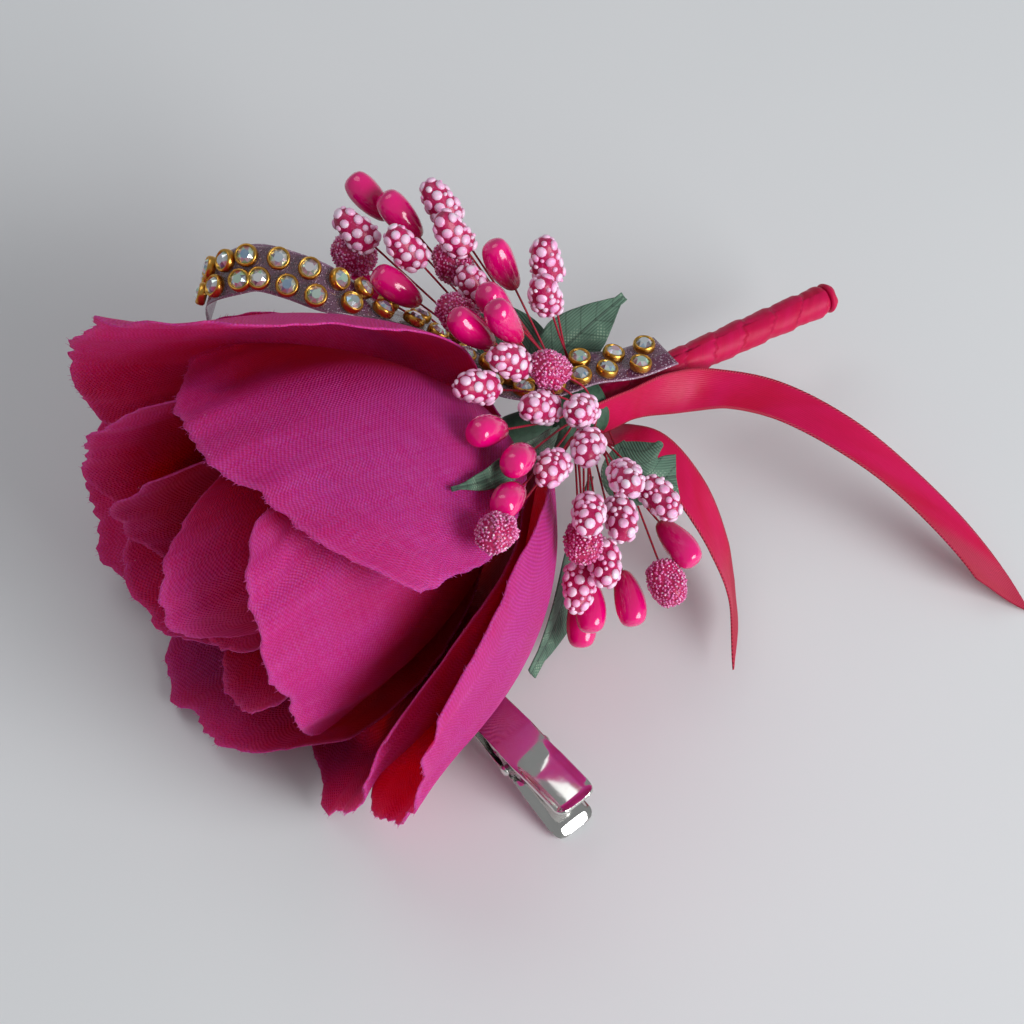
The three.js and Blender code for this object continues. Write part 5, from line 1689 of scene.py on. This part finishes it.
def pressed_plate(side):
    """Pressed sheet of one clip half: a channel with turned-up sides on the handle and a bowed jaw."""
    def at(u, v):
        x = lerp(-CLIP_HANDLE_LENGTH, CLIP_JAW_LENGTH, v)
        half = clip_half_width(x)
        back, front = x + CLIP_HANDLE_LENGTH, CLIP_JAW_LENGTH - x
        for from_end in (back, front):
            if from_end < PLATE_CORNER:
                half -= PLATE_CORNER - math.sqrt(max(0, PLATE_CORNER ** 2 - (PLATE_CORNER - from_end) ** 2))
        y = u * half
        z = clip_height(x, side)
        handle = smooth(0.5, 5, -x)
        rise = smooth(0.66, 1, abs(u))
        z += side * rise * HANDLE_RISE * handle * smooth(0, 2.5, back)
        z -= side * HANDLE_DISH * handle * (1 - u * u)
        z += side * HANDLE_LIP * (1 - smooth(0, 1.5, back)) * (1 if side > 0 else 1.2)
        jaw = smooth(3, 8, x) * smooth(0.4, 4, front)
        z += side * jaw * (JAW_BOW * (1 - u * u) - 0.1)
        teeth = smooth(CLIP_JAW_LENGTH - TEETH_LENGTH, CLIP_JAW_LENGTH - TEETH_LENGTH + 0.4, x)
        z += TEETH_HEIGHT * math.sin(x * TURN / TEETH_PITCH) * teeth
        return in_clip(Vector((x, y, z)))

    return at


class CORSAGE_OT_clip(bpy.types.Operator):
    """Make the alligator clip: two pressed plates with ears, a pin with ball heads and a spring"""

    bl_idname = "corsage.clip"
    bl_label = "Clip"

    def execute(self, context):
        metal = material(nickel_plate)
        for side, node, body in ((1, "clip_upper_jaw", "corsage"), (-1, "clip_lower_jaw", "lower_jaw")):
            length = CLIP_HANDLE_LENGTH + CLIP_JAW_LENGTH
            plate = cloth_grid(pressed_plate(side), PLATE_CELLS, lambda v: CLIP_WIDTH, length)
            made = finished(node + "_plate", plate, [metal], "nickel_steel", node, body)
            thicken(made, PLATE_THICKNESS)
            edge = made.modifiers.new("rounded edge", "BEVEL")
            edge.width = PLATE_BEVEL
            edge.segments = 2
            edge.limit_method = "ANGLE"
            edge.angle_limit = math.radians(60)
            outer = CLIP_WIDTH / 2 if side > 0 else CLIP_WIDTH / 2 - CLIP_PLATE - GAP
            ears = bmesh.new()
            for face in (outer - CLIP_PLATE / 2, -outer + CLIP_PLATE / 2):
                self.ear(ears, side, face)
            finished(node + "_ears", ears, [metal], "nickel_steel", body=body)
        self.pin(metal)
        self.spring(metal)
        return {"FINISHED"}

    def ear(self, work, side, middle):
        """Flange from a plate down to a round end about the pin, with a dented skirt towards the jaw."""
        def at(u, v):
            x = lerp(-EAR_HALF_LENGTH - 0.2, EAR_HALF_LENGTH + 3.2, (u + 1) / 2)
            top = side * (clip_height(x, 1) - 0.05)
            across = min(1, abs(x) / EAR_RADIUS)
            round_end = -side * EAR_RADIUS * math.sqrt(max(0, 1 - across * across))
            hung = 1 - smooth(EAR_RADIUS, EAR_HALF_LENGTH + 3, abs(x))
            skirt = side * lerp(CLIP_PIVOT_OFFSET - 0.2, 0.4, hung)
            bottom = round_end if abs(x) < EAR_RADIUS * 0.98 else skirt
            low = lerp(bottom, skirt, smooth(EAR_RADIUS * 0.7, EAR_RADIUS * 1.4, abs(x)))
            dent = 0.12 * math.sin((x + v * 1.4) * 2.6) * smooth(0.2, 0.6, v) * smooth(EAR_RADIUS, 3, x)
            return in_clip(Vector((x, middle + dent * (1 if middle > 0 else -1), lerp(top, low, v))))

        before = set(work.verts)
        bmesh.ops.create_grid(work, x_segments=EAR_CELLS[0], y_segments=EAR_CELLS[1], size=1)
        added = [vert for vert in work.verts if vert not in before]
        for vert in added:
            vert.co = in_metres(at(vert.co.x, (vert.co.y + 1) / 2))
        bmesh.ops.solidify(work, geom=faces_of(added), thickness=CLIP_PLATE * 0.8 * MM)

    def pin(self, metal):
        reach = CLIP_WIDTH / 2 + GAP
        head = [(0, 0.75), (0.5, 0.7), (0.92, 0.45), (1.08, 0.1), (0.95, -0.02), (PIN_RADIUS, -0.04)]
        half = [(radius, reach + height) for radius, height in head]
        rows = [(radius, -height) for radius, height in half] + [(PIN_RADIUS, 0)] + half[::-1]
        turn = Matrix.Rotation(CLIP_YAW, 4, "Z") @ Matrix.Rotation(math.pi / 2, 4, "X")
        turn.translation = in_metres(CLIP_PIVOT)
        work = bmesh.new()
        spun_form(work, [(radius * MM, height * MM) for radius, height in rows], PIN_STEPS, turn)
        made = finished("clip_pin_turned", work, [metal], "nickel_steel", "clip_pin")
        round_it = made.modifiers.new("rounding", "SUBSURF")
        round_it.levels = round_it.render_levels = 1

    def spring(self, metal):
        """Coil on the pin, with a leg along the inside of each handle."""
        steps = round(SPRING_TURNS * 24)
        width = SPRING_PITCH * SPRING_TURNS
        coil = []
        for k in range(steps + 1):
            angle = math.pi / 2 + TURN * k / 24
            coil.append(Vector((SPRING_RADIUS * math.cos(angle), width * (k / steps - 0.5),
                                SPRING_RADIUS * math.sin(angle))))
        upper, lower = Vector((-SPRING_LEG, 0, LEG_RISE)), Vector((-SPRING_LEG, 0, -LEG_DROP))
        places = [coil[0] + upper, coil[0] + upper / 2, *coil, coil[-1] + lower / 2, coil[-1] + lower]
        work = bmesh.new()
        tube_form(work, places, SPRING_WIRE / 2, SPRING_CELLS, 0.004, (0.05, 1, 0.02), in_clip)
        made = finished("clip_spring_wire", work, [metal], "nickel_steel", "clip_spring", body=None)
        reach = Vector((0, width / 2 - SPRING_WIRE, 0))
        still, turning = in_metres(in_clip(-reach)), in_metres(in_clip(reach))
        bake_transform(made)
        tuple(still)
        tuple(turning)


class CORSAGE_OT_stage(bpy.types.Operator):
    """Make the pale floor, the soft lamps and the camera"""

    bl_idname = "corsage.stage"
    bl_label = "Stage"

    def execute(self, context):
        self.floor()
        self.lamps()
        self.camera(context.scene)
        return {"FINISHED"}

    def floor(self):
        work = bmesh.new()
        bmesh.ops.create_grid(work, x_segments=8, y_segments=8, size=FLOOR_HALF_WIDTH)
        mesh = bpy.data.meshes.new("pale_floor")
        work.to_mesh(mesh)
        work.free()
        mesh.materials.append(material(pale_floor))
        made = bpy.data.objects.new("pale_floor", mesh)
        bpy.context.scene.collection.objects.link(made)
        made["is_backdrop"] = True

    def lamps(self):
        """One broad soft lamp from the front right, a weaker one from behind and an even sky."""
        for name, row in LAMPS.items():
            lamp = bpy.data.lights.new(name, "AREA")
            lamp.shape = "DISK"
            lamp.size = row["size"]
            lamp.energy = row["power"]
            made = bpy.data.objects.new(name, lamp)
            made.location = row["place"]
            aim = Vector(LAMPS_AIM) - Vector(row["place"])
            made.rotation_euler = aim.to_track_quat("-Z", "Y").to_euler()
            bpy.context.scene.collection.objects.link(made)
        world = bpy.data.worlds.new("even_sky")
        world.use_nodes = True
        sky = world.node_tree.nodes["Background"]
        sky.inputs["Color"].default_value = SKY_COLOUR
        sky.inputs["Strength"].default_value = SKY_STRENGTH
        bpy.context.scene.world = world

    def camera(self, scene):
        lens = bpy.data.cameras.new("camera")
        lens.sensor_width = 36
        lens.lens = 36 * CAMERA_DISTANCE / CAMERA_VIEW_WIDTH
        lens.clip_start = 0.01
        made = bpy.data.objects.new("camera", lens)
        target = Vector(CAMERA_TARGET) * MM
        direction = Vector((0, -math.cos(CAMERA_ELEVATION), math.sin(CAMERA_ELEVATION)))
        made.location = target + direction * CAMERA_DISTANCE * MM
        made.rotation_euler = (-direction).to_track_quat("-Z", "Y").to_euler()
        scene.collection.objects.link(made)
        scene.camera = made
        scene.view_settings.view_transform = "Standard"


class CORSAGE_PT_panel(bpy.types.Panel):
    """Sizes, colours and pieces of the corsage"""

    bl_idname = "CORSAGE_PT_panel"
    bl_label = "Corsage"
    bl_space_type = "VIEW_3D"
    bl_region_type = "UI"
    bl_category = "Corsage"

    def draw(self, context):
        layout = self.layout
        for group in (context.scene.corsage_sizes, context.scene.corsage_colours):
            box = layout.box()
            for name in group.bl_rna.properties.keys():
                if name not in {"rna_type", "name"}:
                    box.prop(group, name)
        for operator in OPERATORS:
            layout.operator(operator.bl_idname)


OPERATORS = (
    CORSAGE_OT_stage,
    CORSAGE_OT_petals,
    CORSAGE_OT_stem,
    CORSAGE_OT_stamens,
    CORSAGE_OT_leaves,
    CORSAGE_OT_ribbons,
    CORSAGE_OT_band,
    CORSAGE_OT_clip,
)
CLASSES = (CorsageColours, CorsageSizes, *OPERATORS, CORSAGE_PT_panel)


def register():
    for made in CLASSES:
        bpy.utils.register_class(made)
    bpy.types.Scene.corsage_colours = PointerProperty(type=CorsageColours)
    bpy.types.Scene.corsage_sizes = PointerProperty(type=CorsageSizes)


def unregister():
    del bpy.types.Scene.corsage_sizes
    del bpy.types.Scene.corsage_colours
    for made in reversed(CLASSES):
        bpy.utils.unregister_class(made)


def main():
    register()
    bpy.ops.corsage.stage()
    bpy.ops.corsage.petals()
    bpy.ops.corsage.stem()
    bpy.ops.corsage.stamens()
    bpy.ops.corsage.leaves()
    bpy.ops.corsage.ribbons()
    bpy.ops.corsage.band()
    bpy.ops.corsage.clip()
    boxes = {"cad": CAD_BOX, "visual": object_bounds()}
    plain = {name: [[float(x) for x in corner] for corner in box] for name, box in boxes.items()}


if __name__ == "__main__":
    main()
